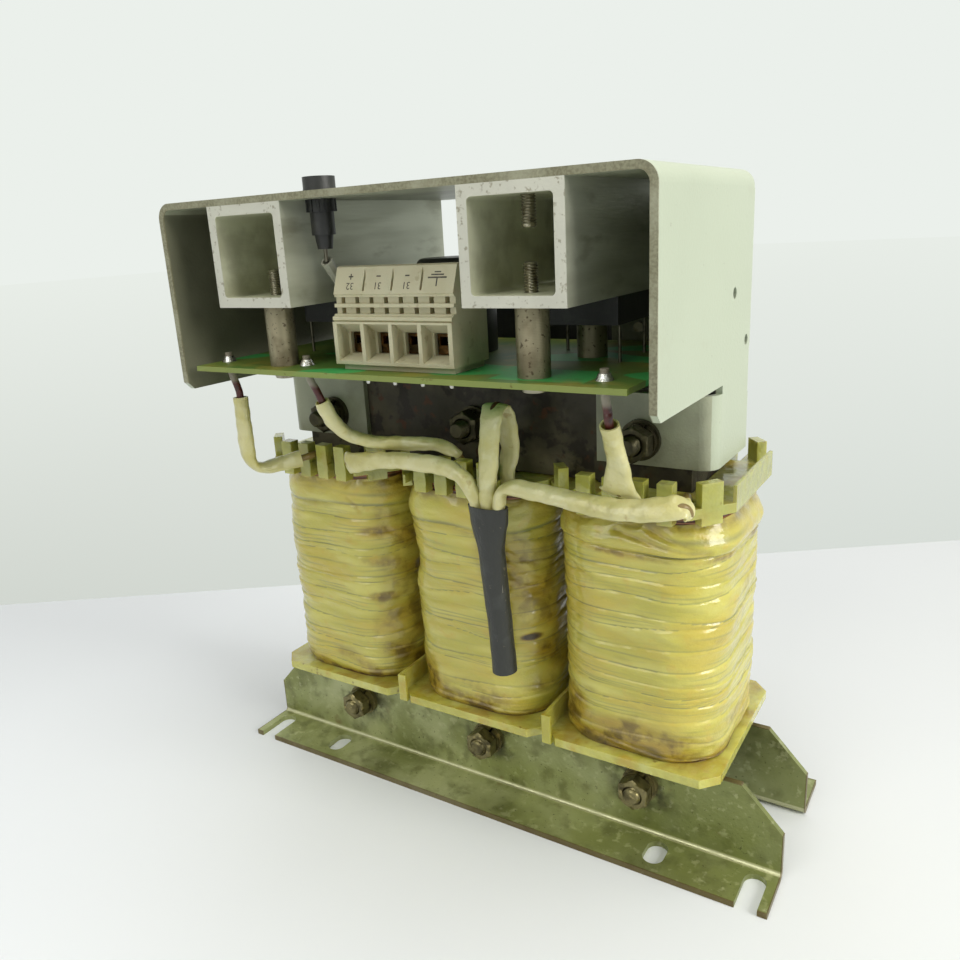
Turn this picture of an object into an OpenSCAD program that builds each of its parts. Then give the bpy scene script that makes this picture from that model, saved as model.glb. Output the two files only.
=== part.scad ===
// Multi-tap three-phase transformer with a rectified low-voltage output, open on two mounting angles.
// X runs left to right, Y runs from the front to the rear and Z is up. The floor is Z = 0.
// The centre of the core is X = 0, Y = 0. All sizes are in millimetres.

/* [Core] */
// Distance between the middles of two neighbouring legs
leg_pitch = 60; // [60:0.5:64]
// Width of a leg and height of a yoke
leg_w = 30; // [28:0.5:30]
// Height of the core windows
window_h = 90; // [88:0.5:92]
// Thickness of the stack of laminations
stack_d = 32.5; // [31.5:0.1:32.5]
// Height of the core's underside above the floor
core_lift = 5.5; // [5:0.1:7]

/* [Bobbins and coils] */
// Gap between a leg and the bobbin on it
bobbin_gap = 0.3; // [0.2:0.05:0.5]
// Wall of the bobbin's tube
bobbin_wall = 1.5; // [1.2:0.1:1.8]
// Thickness of the bobbin's flanges
flange_t = 3; // [2.4:0.1:3]
// Half the width of a flange, along X
flange_hx = 29.5; // [29.2:0.05:29.7]
// Half the depth of a flange, along Y
flange_hy = 33; // [32.5:0.1:33.5]
// Height of the wall that stands between two bottom flanges
rim_h = 7.5; // [5:0.5:8]
// Distance between the teeth of the castellated top flange
tooth_pitch = 8.4; // [8:0.1:8.6]
// Width of one tooth
tooth_w = 4.6; // [4:0.1:4.8]
// Height of the teeth's tops above the top flange
tooth_h = 7; // [5:0.5:7]
// Half the width of the taped coil, along X
wrap_hx = 27.3; // [27:0.1:27.8]
// Half the depth of the taped coil, along Y
wrap_hy = 29.5; // [29.2:0.1:30]
// Thickness of the outer tape wrap
wrap_t = 0.9; // [0.7:0.1:1.1]

/* [Mounting angles] */
// Length of the angles
foot_l = 214; // [212:0.5:220]
// Width of the horizontal leg, from the core's face outwards
foot_w = 20; // [20:0.5:24]
// Height of the vertical leg
foot_h = 31; // [30:0.5:34]
// Distance between the closed slots, along X
slot_pitch_x = 137; // [135:0.5:139]
// Distance between the front and the rear slots, along Y
slot_pitch_y = 54; // [53:0.5:56]
// Width of all slots
slot_w = 7; // [6:0.1:7.2]
// Length of the closed slots, end to end
slot_l = 11; // [10:0.5:11.5]
// Distance of the open slots from the middle, along X
open_slot_x = 100.5; // [99:0.5:101]
// Depth of the open slots, from the edge to the round end
open_slot_l = 15; // [13:0.5:15.5]

/* [Hood] */
// Width of the hood over its side walls
hood_w = 165; // [164:0.5:168]
// Height of the hood's top above the core's top
hood_rise = 60.5; // [58.5:0.5:64]
// Overhang of the hood, from the core's middle to its front edge
hood_front = 66; // [66:0.5:70]
// Thickness of the hood's sheet and of the angles' sheet
sheet_t = 2; // [1.8:0.1:2]
// Outer radius of the sheet's bends
bend_r = 5; // [4:0.5:6]

/* [Heat sink tubes] */
// Outer width and height of the square tubes
tube_w = 30; // [29:0.5:30]
// Wall of the square tubes
tube_wall = 3; // [2.5:0.1:3]
// Length of the square tubes
tube_l = 82; // [76:0.5:82]
// Distance of a tube's middle from the middle of the hood
tube_x = 45; // [44.5:0.1:46]

/* [Circuit board] */
// Length of the board
board_l = 150; // [148:0.5:154]
// Width of the board, from front to rear
board_w = 80; // [78:0.5:80]
// Thickness of the board
board_t = 1.6; // [1.5:0.1:1.8]
// Gap between the board and the tubes, which is the length of the front spacers
spacer_l = 18.8; // [18.8:0.1:19.6]
// Diameter of the spacers
spacer_d = 9; // [8:0.1:10]
// Width of a rectifier
rect_w = 28.5; // [28:0.1:28.8]
// Height of a rectifier
rect_h = 8; // [7:0.1:8.6]
// Diameter of the capacitor
cap_d = 25; // [22:0.5:25]
// Height of the capacitor
cap_h = 30; // [25:0.5:31]
// Distance between two poles of the output terminal
pole_pitch = 10.16; // [10:0.01:10.2]
// Number of poles of the output terminal
poles = 4; // [3:1:4]

/* [Leads] */
// Outer diameter of the insulating sleeves
sleeve_d = 5.6; // [5:0.1:5.7]
// Diameter of the winding wire
wire_d = 2.4; // [2:0.1:2.5]

/* [Fasteners] */
// Diameter of the clamping bolts
clamp_d = 6; // [5.8:0.1:6]
// Distance across the flats of the clamping nuts
clamp_af = 10; // [9.6:0.1:10]
// Diameter of the board screws and of the hood screws
screw_d = 4; // [3.8:0.1:4]

/* [Show] */
// Sub-part to show

/* [Hidden] */
$fn = 48;

// Core heights, from the floor up
yoke_z = core_lift + leg_w;
top_yoke_z = yoke_z + window_h;
core_top = top_yoke_z + leg_w;
core_hx = leg_pitch + leg_w / 2;
core_hy = stack_d / 2;
bolt_z = [core_lift + leg_w / 2, top_yoke_z + leg_w / 2];
leg_x = [-leg_pitch, 0, leg_pitch];
clamp_hole_d = clamp_d + 0.6;

// Bobbin and coil, from the leg outwards. Each pair is half the width and half the depth.
bobbin_in = [leg_w / 2 + bobbin_gap, core_hy + bobbin_gap];
bobbin_out = [bobbin_in[0] + bobbin_wall, bobbin_in[1] + bobbin_wall];
primary_out = [21.6, 23.3];
primary_r = 9;
layer_t = 0.4;
layer_out = [primary_out[0] + layer_t, primary_out[1] + layer_t];
secondary_out = [wrap_hx - wrap_t, wrap_hy - wrap_t];
secondary_r = 17;
flange_z = yoke_z + 0.5;
top_flange_z = top_yoke_z - 0.5 - flange_t;
coil_z = flange_z + flange_t;
coil_top = top_flange_z;
wrap_top = top_flange_z - 3.4;
tooth_bottom = top_flange_z - 2.4;
tooth_top = top_flange_z + flange_t + tooth_h;
tooth_d = 4;
flange_straight = flange_hx - 5;
flange_side = flange_hy - 5.4;
crown_straight = flange_hx - 10;
crown_side = flange_hy - 12.5;
crown = top_flange_z + flange_t;
edge_t = 1.1;

// Mounting angles
foot_y = core_hy;
foot_edge = foot_y + foot_w;
foot_r = 3;

// Hood
tab_y = core_hy + sheet_t;
hood_top = core_top + hood_rise;
hood_wall_z = core_top + 1.5;
tab_x = 45.5;
tab_z = core_top - 23;
front_tab_h = 22;
rear_tab_h = 17.5;
rear_flange_z = core_top + 9;
rear_flange_x = 36;
hood_under = hood_top - sheet_t;

// Heat sink tubes, board and the stack of parts between them
tube_z = hood_under - tube_w;
board_top = tube_z - spacer_l;
board_under = board_top - board_t;
board_front = -hood_front;
screw_y = -56;
rect_y = -19.25;
rect_z = tube_z - rect_h;
rect_lead_x = 12.65;
rect_lead_y = 9.35;
lead_d = 1;
pin_end = board_under - 1.4;
long_pin_end = board_under - 3.2;
screw_hole_d = screw_d + 0.5;
hood_screw_points = [[-tube_x, -2], [tube_x, -56], [tube_x, -2]];
tube_inner_r = 1.2;
hood_screw_l = 13;
board_screw_l = 31;
cap_x = -3.5;
cap_y = -17;
cap_pin = 5;
pad_points = [[-71.5, -55], [-36.5, -55], [65, -56]];

// Output terminal
block_x = 1.35;
block_w = poles * pole_pitch + 1.5;
block_front = -60;
block_rear = -41.6;
block_foot_z = board_top + 1.8;
terminal_pin_y = [-53, -47.5];
terminal_screw_y = block_front + 10.4;

// Fuse holder
fuse_x = -24;
fuse_y = -55;
fuse_hole_d = 7.4;
fuse_body_d = 7;
fuse_cap_d = 9.4;

// Tap strip at the rear
strip_l = 100;
strip_z = core_top;
strip_h = 20;
strip_t = 6;
strip_poles = 8;
strip_ear = 10;
strip_wall = 1.6;
strip_gap = 0.6;
strip_pitch = (strip_l - 2 * strip_ear) / strip_poles;
strip_fix_x = strip_l / 2 - 4;

// Middle lines of the leads, from their upper end down to the coil.
// The first and last rings belong to the bare wire, and the sleeve covers the rings between them.
wire_end_z = coil_top - 0.1;
star_top = crown - 25;
pad_z = board_top + 3;
path_left = [[-71.5, -55, pad_z], [-71.4, -55, board_under - 1.6], [-69.8, -54.6, board_under - 7.1],
  [-69.2, -54.6, board_under - 10.6], [-69.2, -54.6, board_under - 21.6], [-69.8, -53.6, crown + 6],
  [-68.5, -50, crown + 2], [-65.5, -42.5, crown + 2], [-62, -37, crown + 2.6], [-60.1, -33.4, crown + 3],
  [-60, -30, crown + 3], [-60, -25.4, crown + 1.5], [-60, -24.8, wire_end_z]];
path_middle = [[-36.5, -55, pad_z], [-36.4, -55, board_under - 1.6], [-34.6, -54, board_under - 6.6],
  [-33.6, -53.2, board_under - 10.1], [-33, -50, board_under - 17.1], [-32, -43, crown + 15],
  [-26.5, -38, crown + 12], [-17.4, -34.2, crown + 11.4], [-7.5, -31.6, crown + 11.3],
  [-2.8, -29.9, crown + 10.1], [-0.3, -27, crown + 7.3], [0, -25, crown + 3], [0, -24.8, wire_end_z]];
path_right = [[65, -56, pad_z], [65, -56, board_under - 1.6], [65.5, -55.4, board_under - 6.6],
  [65.6, -54.8, board_under - 10.1], [64, -46, board_under - 21.9], [62, -40, crown + 7],
  [61, -36.4, crown + 4], [60.2, -29.6, crown + 2.8], [60, -25.2, crown + 1], [60, -24.8, wire_end_z]];
path_star_left = [[-43.2, -24.8, wire_end_z], [-43.2, -25.4, crown + 1.5], [-43.2, -31, crown + 3.4],
  [-42.6, -36.3, crown + 3.2], [-41, -39, crown + 3.4], [-34, -39.4, crown + 4.8], [-21, -38.8, crown + 6.4],
  [-3.4, -39.4, crown + 7], [6.8, -40.2, crown + 5.8], [12, -40.8, crown + 2.2], [14.2, -40.5, crown - 3],
  [14.3, -40, crown - 10], [15.9, -38.4, star_top]];
path_star_middle = [[16.8, -24.8, wire_end_z], [17, -25, crown + 3.6], [18.6, -25.4, crown + 11],
  [18.6, -28, crown + 22], [18.4, -32, crown + 26], [18.2, -35.6, crown + 22], [18.2, -38, crown + 10],
  [18.4, -39.8, crown + 1.4], [18.4, -40.5, crown - 3], [18.4, -40, crown - 10], [18.4, -38.4, star_top]];
path_star_right = [[76.8, -24.8, wire_end_z], [76.8, -25.4, crown + 1.5], [76.9, -31, crown + 3.4],
  [77.2, -36.3, crown + 2.6], [76.2, -39.4, crown + 1.4], [72, -41.6, crown + 0.6], [62, -42.6, crown + 0.8],
  [44, -42, crown + 2.4], [30, -41.4, crown + 3.4], [24.8, -41, crown + 2], [22.6, -40.5, crown - 3],
  [22.5, -40, crown - 10], [20.9, -38.4, star_top]];
path_heat_shrink = [[18.4, -40.2, crown - 4], [18.3, -39.4, crown - 17], [18.2, -37.4, crown - 34],
  [18.6, -36.3, crown - 49], [19.1, -36, crown - 64]];
path_fuse = [[fuse_x, fuse_y, hood_top - 16], [-24.4, -54.6, hood_top - 19.4], [-25, -50, hood_top - 25],
  [-24.6, -42, hood_top - 33], [-23, -37, hood_top - 42], [-22, -35.6, hood_top - 48.5],
  [-22, -35.6, pin_end]];

// Direction of a path at ring i, from its neighbours
function unit(v) = v / norm(v);
function along(p, i) = unit(p[min(i + 1, len(p) - 1)] - p[max(i - 1, 0)]);
// The first and last rings lie flat, so that the wire's ends meet their faces squarely
function ring_axis(p, i) = (i == 0 || i == len(p) - 1) && abs(along(p, i)[2]) > 0.8 ?
  [0, 0, sign(along(p, i)[2])] : along(p, i);
// Normals carried from ring to ring without twist
function normals(p, i, n) = i >= len(p) ? [] :
  let (t = ring_axis(p, i), m = unit(n - (n * t) * t)) concat([m], normals(p, i + 1, m));
// Points of all rings of one skin: half widths a along the normal and b across it
function skin(p, a, b, nn, sides) = [for (i = [0:len(p) - 1]) let (t = ring_axis(p, i), u = nn[i],
  w = cross(t, u)) for (k = [0:sides - 1]) p[i] + a[i] * cos(360 * k / sides) * u
  + b[i] * sin(360 * k / sides) * w];
// Part of a list, from item s to item e
function part_of(p, s, e) = [for (i = [s:e]) p[i]];
function same(n, v) = [for (i = [1:n]) v];

// A solid round wire along path p
module swept_wire(p, r, start_normal, sides) {
  n = len(p);
  nn = normals(p, 0, start_normal);
  pts = skin(p, same(n, r), same(n, r), nn, sides);
  faces = concat(
    [[for (k = [0:sides - 1]) sides - 1 - k]],
    [for (i = [0:n - 2]) for (k = [0:sides - 1])
      [i * sides + k, i * sides + (k + 1) % sides, (i + 1) * sides + k]],
    [for (i = [0:n - 2]) for (k = [0:sides - 1])
      [i * sides + (k + 1) % sides, (i + 1) * sides + (k + 1) % sides, (i + 1) * sides + k]],
    [[for (k = [0:sides - 1]) (n - 1) * sides + k]]);
  polyhedron(points = pts, faces = faces, convexity = 8);
}

// An open sleeve along path p, with half widths a and b at each ring and wall t
module swept_sleeve(p, a, b, t, start_normal, sides) {
  n = len(p);
  nn = normals(p, 0, start_normal);
  inner_a = [for (v = a) v - t];
  inner_b = [for (v = b) v - t];
  pts = concat(skin(p, a, b, nn, sides), skin(p, inner_a, inner_b, nn, sides));
  m = n * sides;
  faces = concat(
    [for (i = [0:n - 2]) for (k = [0:sides - 1])
      [i * sides + k, i * sides + (k + 1) % sides, (i + 1) * sides + k]],
    [for (i = [0:n - 2]) for (k = [0:sides - 1])
      [i * sides + (k + 1) % sides, (i + 1) * sides + (k + 1) % sides, (i + 1) * sides + k]],
    [for (i = [0:n - 2]) for (k = [0:sides - 1])
      [m + i * sides + k, m + (i + 1) * sides + k, m + i * sides + (k + 1) % sides]],
    [for (i = [0:n - 2]) for (k = [0:sides - 1])
      [m + i * sides + (k + 1) % sides, m + (i + 1) * sides + k, m + (i + 1) * sides + (k + 1) % sides]],
    [for (k = [0:sides - 1]) [k, m + k, (k + 1) % sides]],
    [for (k = [0:sides - 1]) [(k + 1) % sides, m + k, m + (k + 1) % sides]],
    [for (k = [0:sides - 1]) [(n - 1) * sides + k, (n - 1) * sides + (k + 1) % sides,
      m + (n - 1) * sides + k]],
    [for (k = [0:sides - 1]) [(n - 1) * sides + (k + 1) % sides, m + (n - 1) * sides + (k + 1) % sides,
      m + (n - 1) * sides + k]]);
  polyhedron(points = pts, faces = faces, convexity = 8);
}

// Flat rectangle with rounded corners, given by its half sizes
module round_rect(half, r) {
  square([2 * (half[0] - r), 2 * half[1]], center = true);
  square([2 * half[0], 2 * (half[1] - r)], center = true);
  if (r > 0)
    for (sx = [-1, 1])
      for (sy = [-1, 1])
        translate([sx * (half[0] - r), sy * (half[1] - r)])
          circle(r = r);
}

// One ring of a coil, between two rounded rectangles
module coil_ring(inner, inner_r, outer, outer_r, z0, z1) {
  translate([0, 0, z0])
    linear_extrude(z1 - z0)
      difference() {
        round_rect(outer, outer_r);
        round_rect(inner, inner_r);
      }
}

// A round bar along Y, from y0 to y1
module y_bar(x, z, y0, y1, d) {
  translate([x, y1, z])
    rotate([90, 0, 0])
      cylinder(h = y1 - y0, d = d);
}

// Outline of one bobbin flange with cut corners
module flange_outline(straight, side) {
  polygon([[straight, flange_hy], [flange_hx, side], [flange_hx, -side], [straight, -flange_hy],
    [-straight, -flange_hy], [-flange_hx, -side], [-flange_hx, side], [-straight, flange_hy]]);
}

module bobbin_tube_hole() {
  translate([0, 0, flange_z - 1])
    linear_extrude(top_yoke_z - flange_z + 2)
      square([2 * bobbin_in[0], 2 * bobbin_in[1]], center = true);
}

// Moulded bobbin: tube, flat bottom flange, castellated top flange with lead slots.
// Only some bobbins have a wall on the left side of the bottom flange, an edge at the top's right side
// or a tooth on the top's front right corner.
module bobbin_shape(left_wall, right_edge, front_tooth) {
  difference() {
    union() {
      translate([-bobbin_out[0], -bobbin_out[1], flange_z])
        cube([2 * bobbin_out[0], 2 * bobbin_out[1], top_flange_z + flange_t - flange_z]);
      translate([0, 0, flange_z])
        linear_extrude(flange_t)
          flange_outline(flange_straight, flange_side);
      if (left_wall)
        for (sy = [-1, 1])
          scale_sides(-1, sy) {
            translate([flange_hx - 3.3, flange_side - 1, flange_z])
              cube([3.3, flange_hy - flange_side + 1, flange_t]);
            translate([flange_hx - edge_t, 0, flange_z])
              cube([edge_t, flange_hy, flange_t + rim_h]);
            translate([flange_hx - 3.3, flange_hy - 1, flange_z])
              cube([3.3, 1, flange_t + rim_h]);
          }
      translate([0, 0, top_flange_z])
        linear_extrude(flange_t)
          flange_outline(crown_straight, crown_side);
      if (right_edge)
        translate([flange_hx - edge_t, -crown_side, top_flange_z])
          cube([edge_t, 2 * crown_side, flange_t + 5]);
      for (sy = [-1, 1])
        for (k = [-1.5:1:1.5])
          translate([k * tooth_pitch - tooth_w / 2, sy * (flange_hy - tooth_d / 2) - tooth_d / 2,
            tooth_bottom])
            cube([tooth_w, tooth_d, tooth_top - tooth_bottom]);
      for (sx = [-1, 1])
        for (sy = [-1, 1])
          if (front_tooth || sx < 0 || sy > 0)
            scale_sides(sx, sy)
              translate([(crown_straight + flange_hx) / 2, (crown_side + flange_hy) / 2, tooth_bottom])
                rotate([0, 0, -atan2(flange_hy - crown_side, flange_hx - crown_straight)])
                  translate([-3.5, -3.2, 0])
                    cube([7, 3.2, tooth_top - tooth_bottom]);
    }
    bobbin_tube_hole();
    for (sy = [-1, 1])
      for (k = [-2:1:2])
        translate([k * tooth_pitch - 1.75, sy * (flange_hy - 5) - 5, top_flange_z - 5])
          cube([3.5, 10, flange_t + 10]);
  }
}

// Places a quarter piece in one of the four quarters
module scale_sides(sx, sy) {
  mirror([sx < 0 ? 1 : 0, 0, 0])
    mirror([0, sy < 0 ? 1 : 0, 0])
      children();
}

module bobbin_left() {
  color([0.80, 0.82, 0.48])
    translate([-leg_pitch, 0, 0])
      bobbin_shape(false, false, true);
}

module bobbin_middle() {
  color([0.80, 0.82, 0.48])
    bobbin_shape(true, false, false);
}

module bobbin_right() {
  color([0.80, 0.82, 0.48])
    translate([leg_pitch, 0, 0])
      bobbin_shape(true, true, true);
}

// E-shaped stack: the three legs and the lower yoke
module core_e_laminations() {
  color([0.10, 0.10, 0.09])
    difference() {
      union() {
        translate([-core_hx, -core_hy, core_lift])
          cube([2 * core_hx, stack_d, leg_w]);
        for (x = leg_x)
          translate([x - leg_w / 2, -core_hy, core_lift])
            cube([leg_w, stack_d, leg_w + window_h]);
      }
      for (x = leg_x)
        y_bar(x, bolt_z[0], -core_hy - 1, core_hy + 1, clamp_hole_d);
    }
}

// Upper yoke stack, which lies on the three legs
module core_yoke_laminations() {
  color([0.10, 0.10, 0.09])
    difference() {
      translate([-core_hx, -core_hy, top_yoke_z])
        cube([2 * core_hx, stack_d, leg_w]);
      for (x = leg_x)
        y_bar(x, bolt_z[1], -core_hy - 1, core_hy + 1, clamp_hole_d);
    }
}

// Primary windings, next to the bobbin tubes
module primary_windings() {
  color([0.55, 0.27, 0.12])
    for (x = leg_x)
      translate([x, 0, 0])
        coil_ring(bobbin_out, 0, primary_out, primary_r, coil_z, coil_top - 0.1);
}

// Insulation between the primary and the secondary windings
module interlayer_insulation() {
  color([0.85, 0.80, 0.60])
    for (x = leg_x)
      translate([x, 0, 0])
        coil_ring(primary_out, primary_r, layer_out, primary_r + layer_t, coil_z, coil_top - 0.1);
}

// Secondary windings, whose brown upper edge shows under the top flange
module secondary_windings() {
  color([0.42, 0.25, 0.12])
    for (x = leg_x)
      translate([x, 0, 0])
        coil_ring(layer_out, primary_r + layer_t, secondary_out, secondary_r, coil_z, coil_top - 0.1);
}

// Outer wrap of varnished tape
module wrap_shape() {
  coil_ring(secondary_out, secondary_r, [wrap_hx, wrap_hy], secondary_r + wrap_t, coil_z + 0.3, wrap_top);
}

module coil_wrap_left() {
  color([0.86, 0.80, 0.45])
    translate([-leg_pitch, 0, 0])
      wrap_shape();
}

module coil_wrap_middle() {
  color([0.86, 0.80, 0.45])
    wrap_shape();
}

module coil_wrap_right() {
  color([0.86, 0.80, 0.45])
    translate([leg_pitch, 0, 0])
      wrap_shape();
}

// One slotted mounting angle, drawn at the rear
module foot_shape() {
  difference() {
    union() {
      translate([-foot_l / 2, foot_y + foot_r, 0])
        cube([foot_l, foot_w - foot_r, sheet_t]);
      translate([-foot_l / 2, foot_y, foot_r])
        cube([foot_l, sheet_t, foot_h - foot_r]);
      intersection() {
        translate([-foot_l / 2, foot_y + foot_r, foot_r])
          rotate([0, 90, 0])
            difference() {
              cylinder(h = foot_l, r = foot_r);
              translate([0, 0, -1])
                cylinder(h = foot_l + 2, r = foot_r - sheet_t);
            }
        translate([-foot_l / 2, foot_y, 0])
          cube([foot_l, foot_r, foot_r]);
      }
    }
    for (sx = [-1, 1])
      scale_sides(sx, 1) {
        translate([foot_l / 2, foot_y - 1, foot_h])
          rotate([-90, 0, 0])
            linear_extrude(sheet_t + 2)
              polygon([[-13.5, -0.1], [-13.5, 0], [0, 14.5], [0.1, 14.5], [0.1, -0.1]]);
        translate([slot_pitch_x / 2, slot_pitch_y / 2, -1])
          linear_extrude(sheet_t + 2) {
            square([slot_w, slot_l - slot_w], center = true);
            for (sy = [-1, 1])
              translate([0, sy * (slot_l - slot_w) / 2])
                circle(d = slot_w);
          }
        translate([open_slot_x, foot_edge, -1])
          linear_extrude(sheet_t + 2) {
            translate([-slot_w / 2, slot_w / 2 - open_slot_l])
              square([slot_w, open_slot_l]);
            translate([0, slot_w / 2 - open_slot_l])
              circle(d = slot_w);
          }
      }
    for (x = leg_x)
      y_bar(x, bolt_z[0], foot_y - 1, foot_y + sheet_t + 1, clamp_hole_d);
  }
}

module foot_angle_front() {
  color([0.60, 0.62, 0.46])
    mirror([0, 1, 0])
      foot_shape();
}

module foot_angle_rear() {
  color([0.60, 0.62, 0.46])
    foot_shape();
}

// A hexagon prism along Y, from y0 to y1, with a round hole
module hex_y(x, z, y0, y1, af, hole) {
  translate([x, y1, z])
    rotate([90, 0, 0])
      difference() {
        cylinder(h = y1 - y0, d = af / cos(30), $fn = 6);
        if (hole > 0)
          translate([0, 0, -1])
            cylinder(h = y1 - y0 + 2, d = hole);
      }
}

// A washer along Y, from y0 to y1, with an optional cut through its ring
module washer_y(x, z, y0, y1, d, hole, cut) {
  difference() {
    y_bar(x, z, y0, y1, d);
    y_bar(x, z, y0 - 1, y1 + 1, hole);
    if (cut > 0)
      translate([x, y0 - 1, z - cut / 2])
        rotate([0, -60, 0])
          cube([d, y1 - y0 + 2, cut]);
  }
}

washer_t = 1.6;
clamp_nut_h = 5;
clamp_head_h = 4;
washer_od = 12.5;
spring_washer_od = 11;
// Front face that each clamping nut presses on: the angle below, the hood's tabs or the yoke above
function lower_face(x) = -tab_y;
function upper_face(x) = x == 0 ? -core_hy : -tab_y;

// One row of bolts with the head at the rear; the shank ends as far in front of its face as given
module clamp_bolt_row(z, faces, proud) {
  for (i = [0:2]) {
    f = faces[i];
    hex_y(leg_x[i], z, -f + washer_t, -f + washer_t + clamp_head_h, clamp_af, 0);
    y_bar(leg_x[i], z, f - proud, -f + washer_t, clamp_d);
  }
}

module lower_clamp_bolts() {
  color([0.50, 0.47, 0.38])
    clamp_bolt_row(bolt_z[0], [for (x = leg_x) lower_face(x)], 9.5);
}

module lower_flat_washers() {
  color([0.55, 0.54, 0.46])
    for (x = leg_x) {
      washer_y(x, bolt_z[0], lower_face(x) - washer_t, lower_face(x), washer_od, clamp_hole_d, 0);
      washer_y(x, bolt_z[0], -lower_face(x), -lower_face(x) + washer_t, washer_od, clamp_hole_d, 0);
    }
}

module lower_spring_washers() {
  color([0.45, 0.44, 0.38])
    for (x = leg_x)
      washer_y(x, bolt_z[0], lower_face(x) - 2 * washer_t, lower_face(x) - washer_t,
        spring_washer_od, clamp_hole_d, 1);
}

module lower_nuts() {
  color([0.52, 0.50, 0.40])
    for (x = leg_x)
      hex_y(x, bolt_z[0], lower_face(x) - 2 * washer_t - clamp_nut_h, lower_face(x) - 2 * washer_t,
        clamp_af, clamp_d + 0.04);
}

module upper_clamp_bolts() {
  color([0.50, 0.47, 0.38])
    clamp_bolt_row(bolt_z[1], [for (x = leg_x) upper_face(x)], 12);
}

module upper_flat_washers() {
  color([0.55, 0.54, 0.46])
    for (x = leg_x) {
      washer_y(x, bolt_z[1], upper_face(x) - washer_t, upper_face(x), washer_od, clamp_hole_d, 0);
      washer_y(x, bolt_z[1], -upper_face(x), -upper_face(x) + washer_t, washer_od, clamp_hole_d, 0);
    }
}

module upper_spring_washers() {
  color([0.45, 0.44, 0.38])
    for (x = leg_x)
      washer_y(x, bolt_z[1], upper_face(x) - 2 * washer_t, upper_face(x) - washer_t,
        spring_washer_od, clamp_hole_d, 1);
}

module upper_nuts() {
  color([0.52, 0.50, 0.40])
    for (x = leg_x)
      hex_y(x, bolt_z[1], upper_face(x) - 2 * washer_t - clamp_nut_h, upper_face(x) - 2 * washer_t,
        clamp_af, clamp_d + 0.04);
}

// A sheet strip bent inwards from the right wall at Y = edge_y, from z0 to z1, ending at x_in
module bent_tab(x_in, edge_y, z0, z1) {
  s = sign(edge_y);
  cx = hood_w / 2 - bend_r;
  cy = edge_y - s * bend_r;
  translate([0, 0, z0])
    linear_extrude(z1 - z0) {
      translate([x_in, s > 0 ? edge_y - sheet_t : edge_y])
        square([cx - x_in, sheet_t]);
      intersection() {
        translate([cx, cy])
          difference() {
            circle(r = bend_r);
            circle(r = bend_r - sheet_t);
          }
        translate([cx, s > 0 ? cy : cy - bend_r])
          square([bend_r, bend_r]);
      }
    }
}

// Hood of painted sheet: top, two side walls, tabs on the core and flanges at the rear
module hood() {
  cx = hood_w / 2 - bend_r;
  wall_rear = tab_y - bend_r;
  color([0.84, 0.86, 0.78])
    difference() {
      union() {
        translate([-cx, -hood_front, hood_under])
          cube([2 * cx, hood_front + tab_y, sheet_t]);
        for (sx = [-1, 1])
          scale_sides(sx, 1) {
            intersection() {
              translate([cx, -hood_front, hood_top - bend_r])
                rotate([-90, 0, 0])
                  difference() {
                    cylinder(h = hood_front + wall_rear, r = bend_r);
                    translate([0, 0, -1])
                      cylinder(h = hood_front + wall_rear + 2, r = bend_r - sheet_t);
                  }
              translate([cx, -hood_front, hood_top - bend_r])
                cube([bend_r, hood_front + wall_rear, bend_r]);
            }
            translate([hood_w / 2 - sheet_t, -hood_front, hood_wall_z])
              cube([sheet_t, hood_front + wall_rear, hood_top - bend_r - hood_wall_z]);
            translate([hood_w / 2 - sheet_t, -wall_rear, tab_z])
              cube([sheet_t, 2 * wall_rear, hood_wall_z - tab_z]);
            bent_tab(tab_x, -tab_y, tab_z, tab_z + front_tab_h);
            bent_tab(tab_x, tab_y, tab_z, tab_z + rear_tab_h);
            bent_tab(rear_flange_x, tab_y, rear_flange_z, hood_top - bend_r - 0.5);
          }
      }
      for (sx = [-1, 1])
        scale_sides(sx, 1) {
          translate([hood_w / 2 - sheet_t - 1, -hood_front, hood_wall_z])
            rotate([0, 90, 0])
              linear_extrude(sheet_t + 2)
                polygon([[0.1, -0.1], [0.1, 2.6], [-2.6, -0.1]]);
          translate([hood_w / 2 - sheet_t - 1, tab_y, tab_z])
            rotate([0, 90, 0])
              linear_extrude(sheet_t + 2)
                polygon([[0.1, 0.1], [0.1, -3.2], [-3.2, 0.1]]);
        }
      for (p = hood_screw_points)
        translate([p[0], p[1], 0])
          hood_screw_hole();
      for (x = [-leg_pitch, leg_pitch])
        for (s = [-1, 1])
          y_bar(x, bolt_z[1], s * (tab_y - 1) - 2, s * (tab_y - 1) + 2, clamp_hole_d);
      translate([fuse_x, fuse_y, hood_under - 1])
        cylinder(h = sheet_t + 2, d = fuse_hole_d);
      for (p = [[-3.9, 181.9], [9.7, 167]])
        translate([hood_w / 2 - sheet_t - 1, p[0], p[1]])
          rotate([0, 90, 0])
            cylinder(h = sheet_t + 2, d = 3.3);
      for (sx = [-1, 1])
        y_bar(sx * strip_fix_x, strip_z + 14, tab_y - sheet_t - 1, tab_y + 1, 3.4);
    }
}

// Countersunk hole in the hood's top
module hood_screw_hole() {
  translate([0, 0, hood_under - 1])
    cylinder(h = sheet_t + 2, d = screw_hole_d);
  translate([0, 0, hood_top - 2])
    cylinder(h = 2.3, d1 = screw_hole_d - 0.2, d2 = screw_hole_d + 4.4);
}

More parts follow.
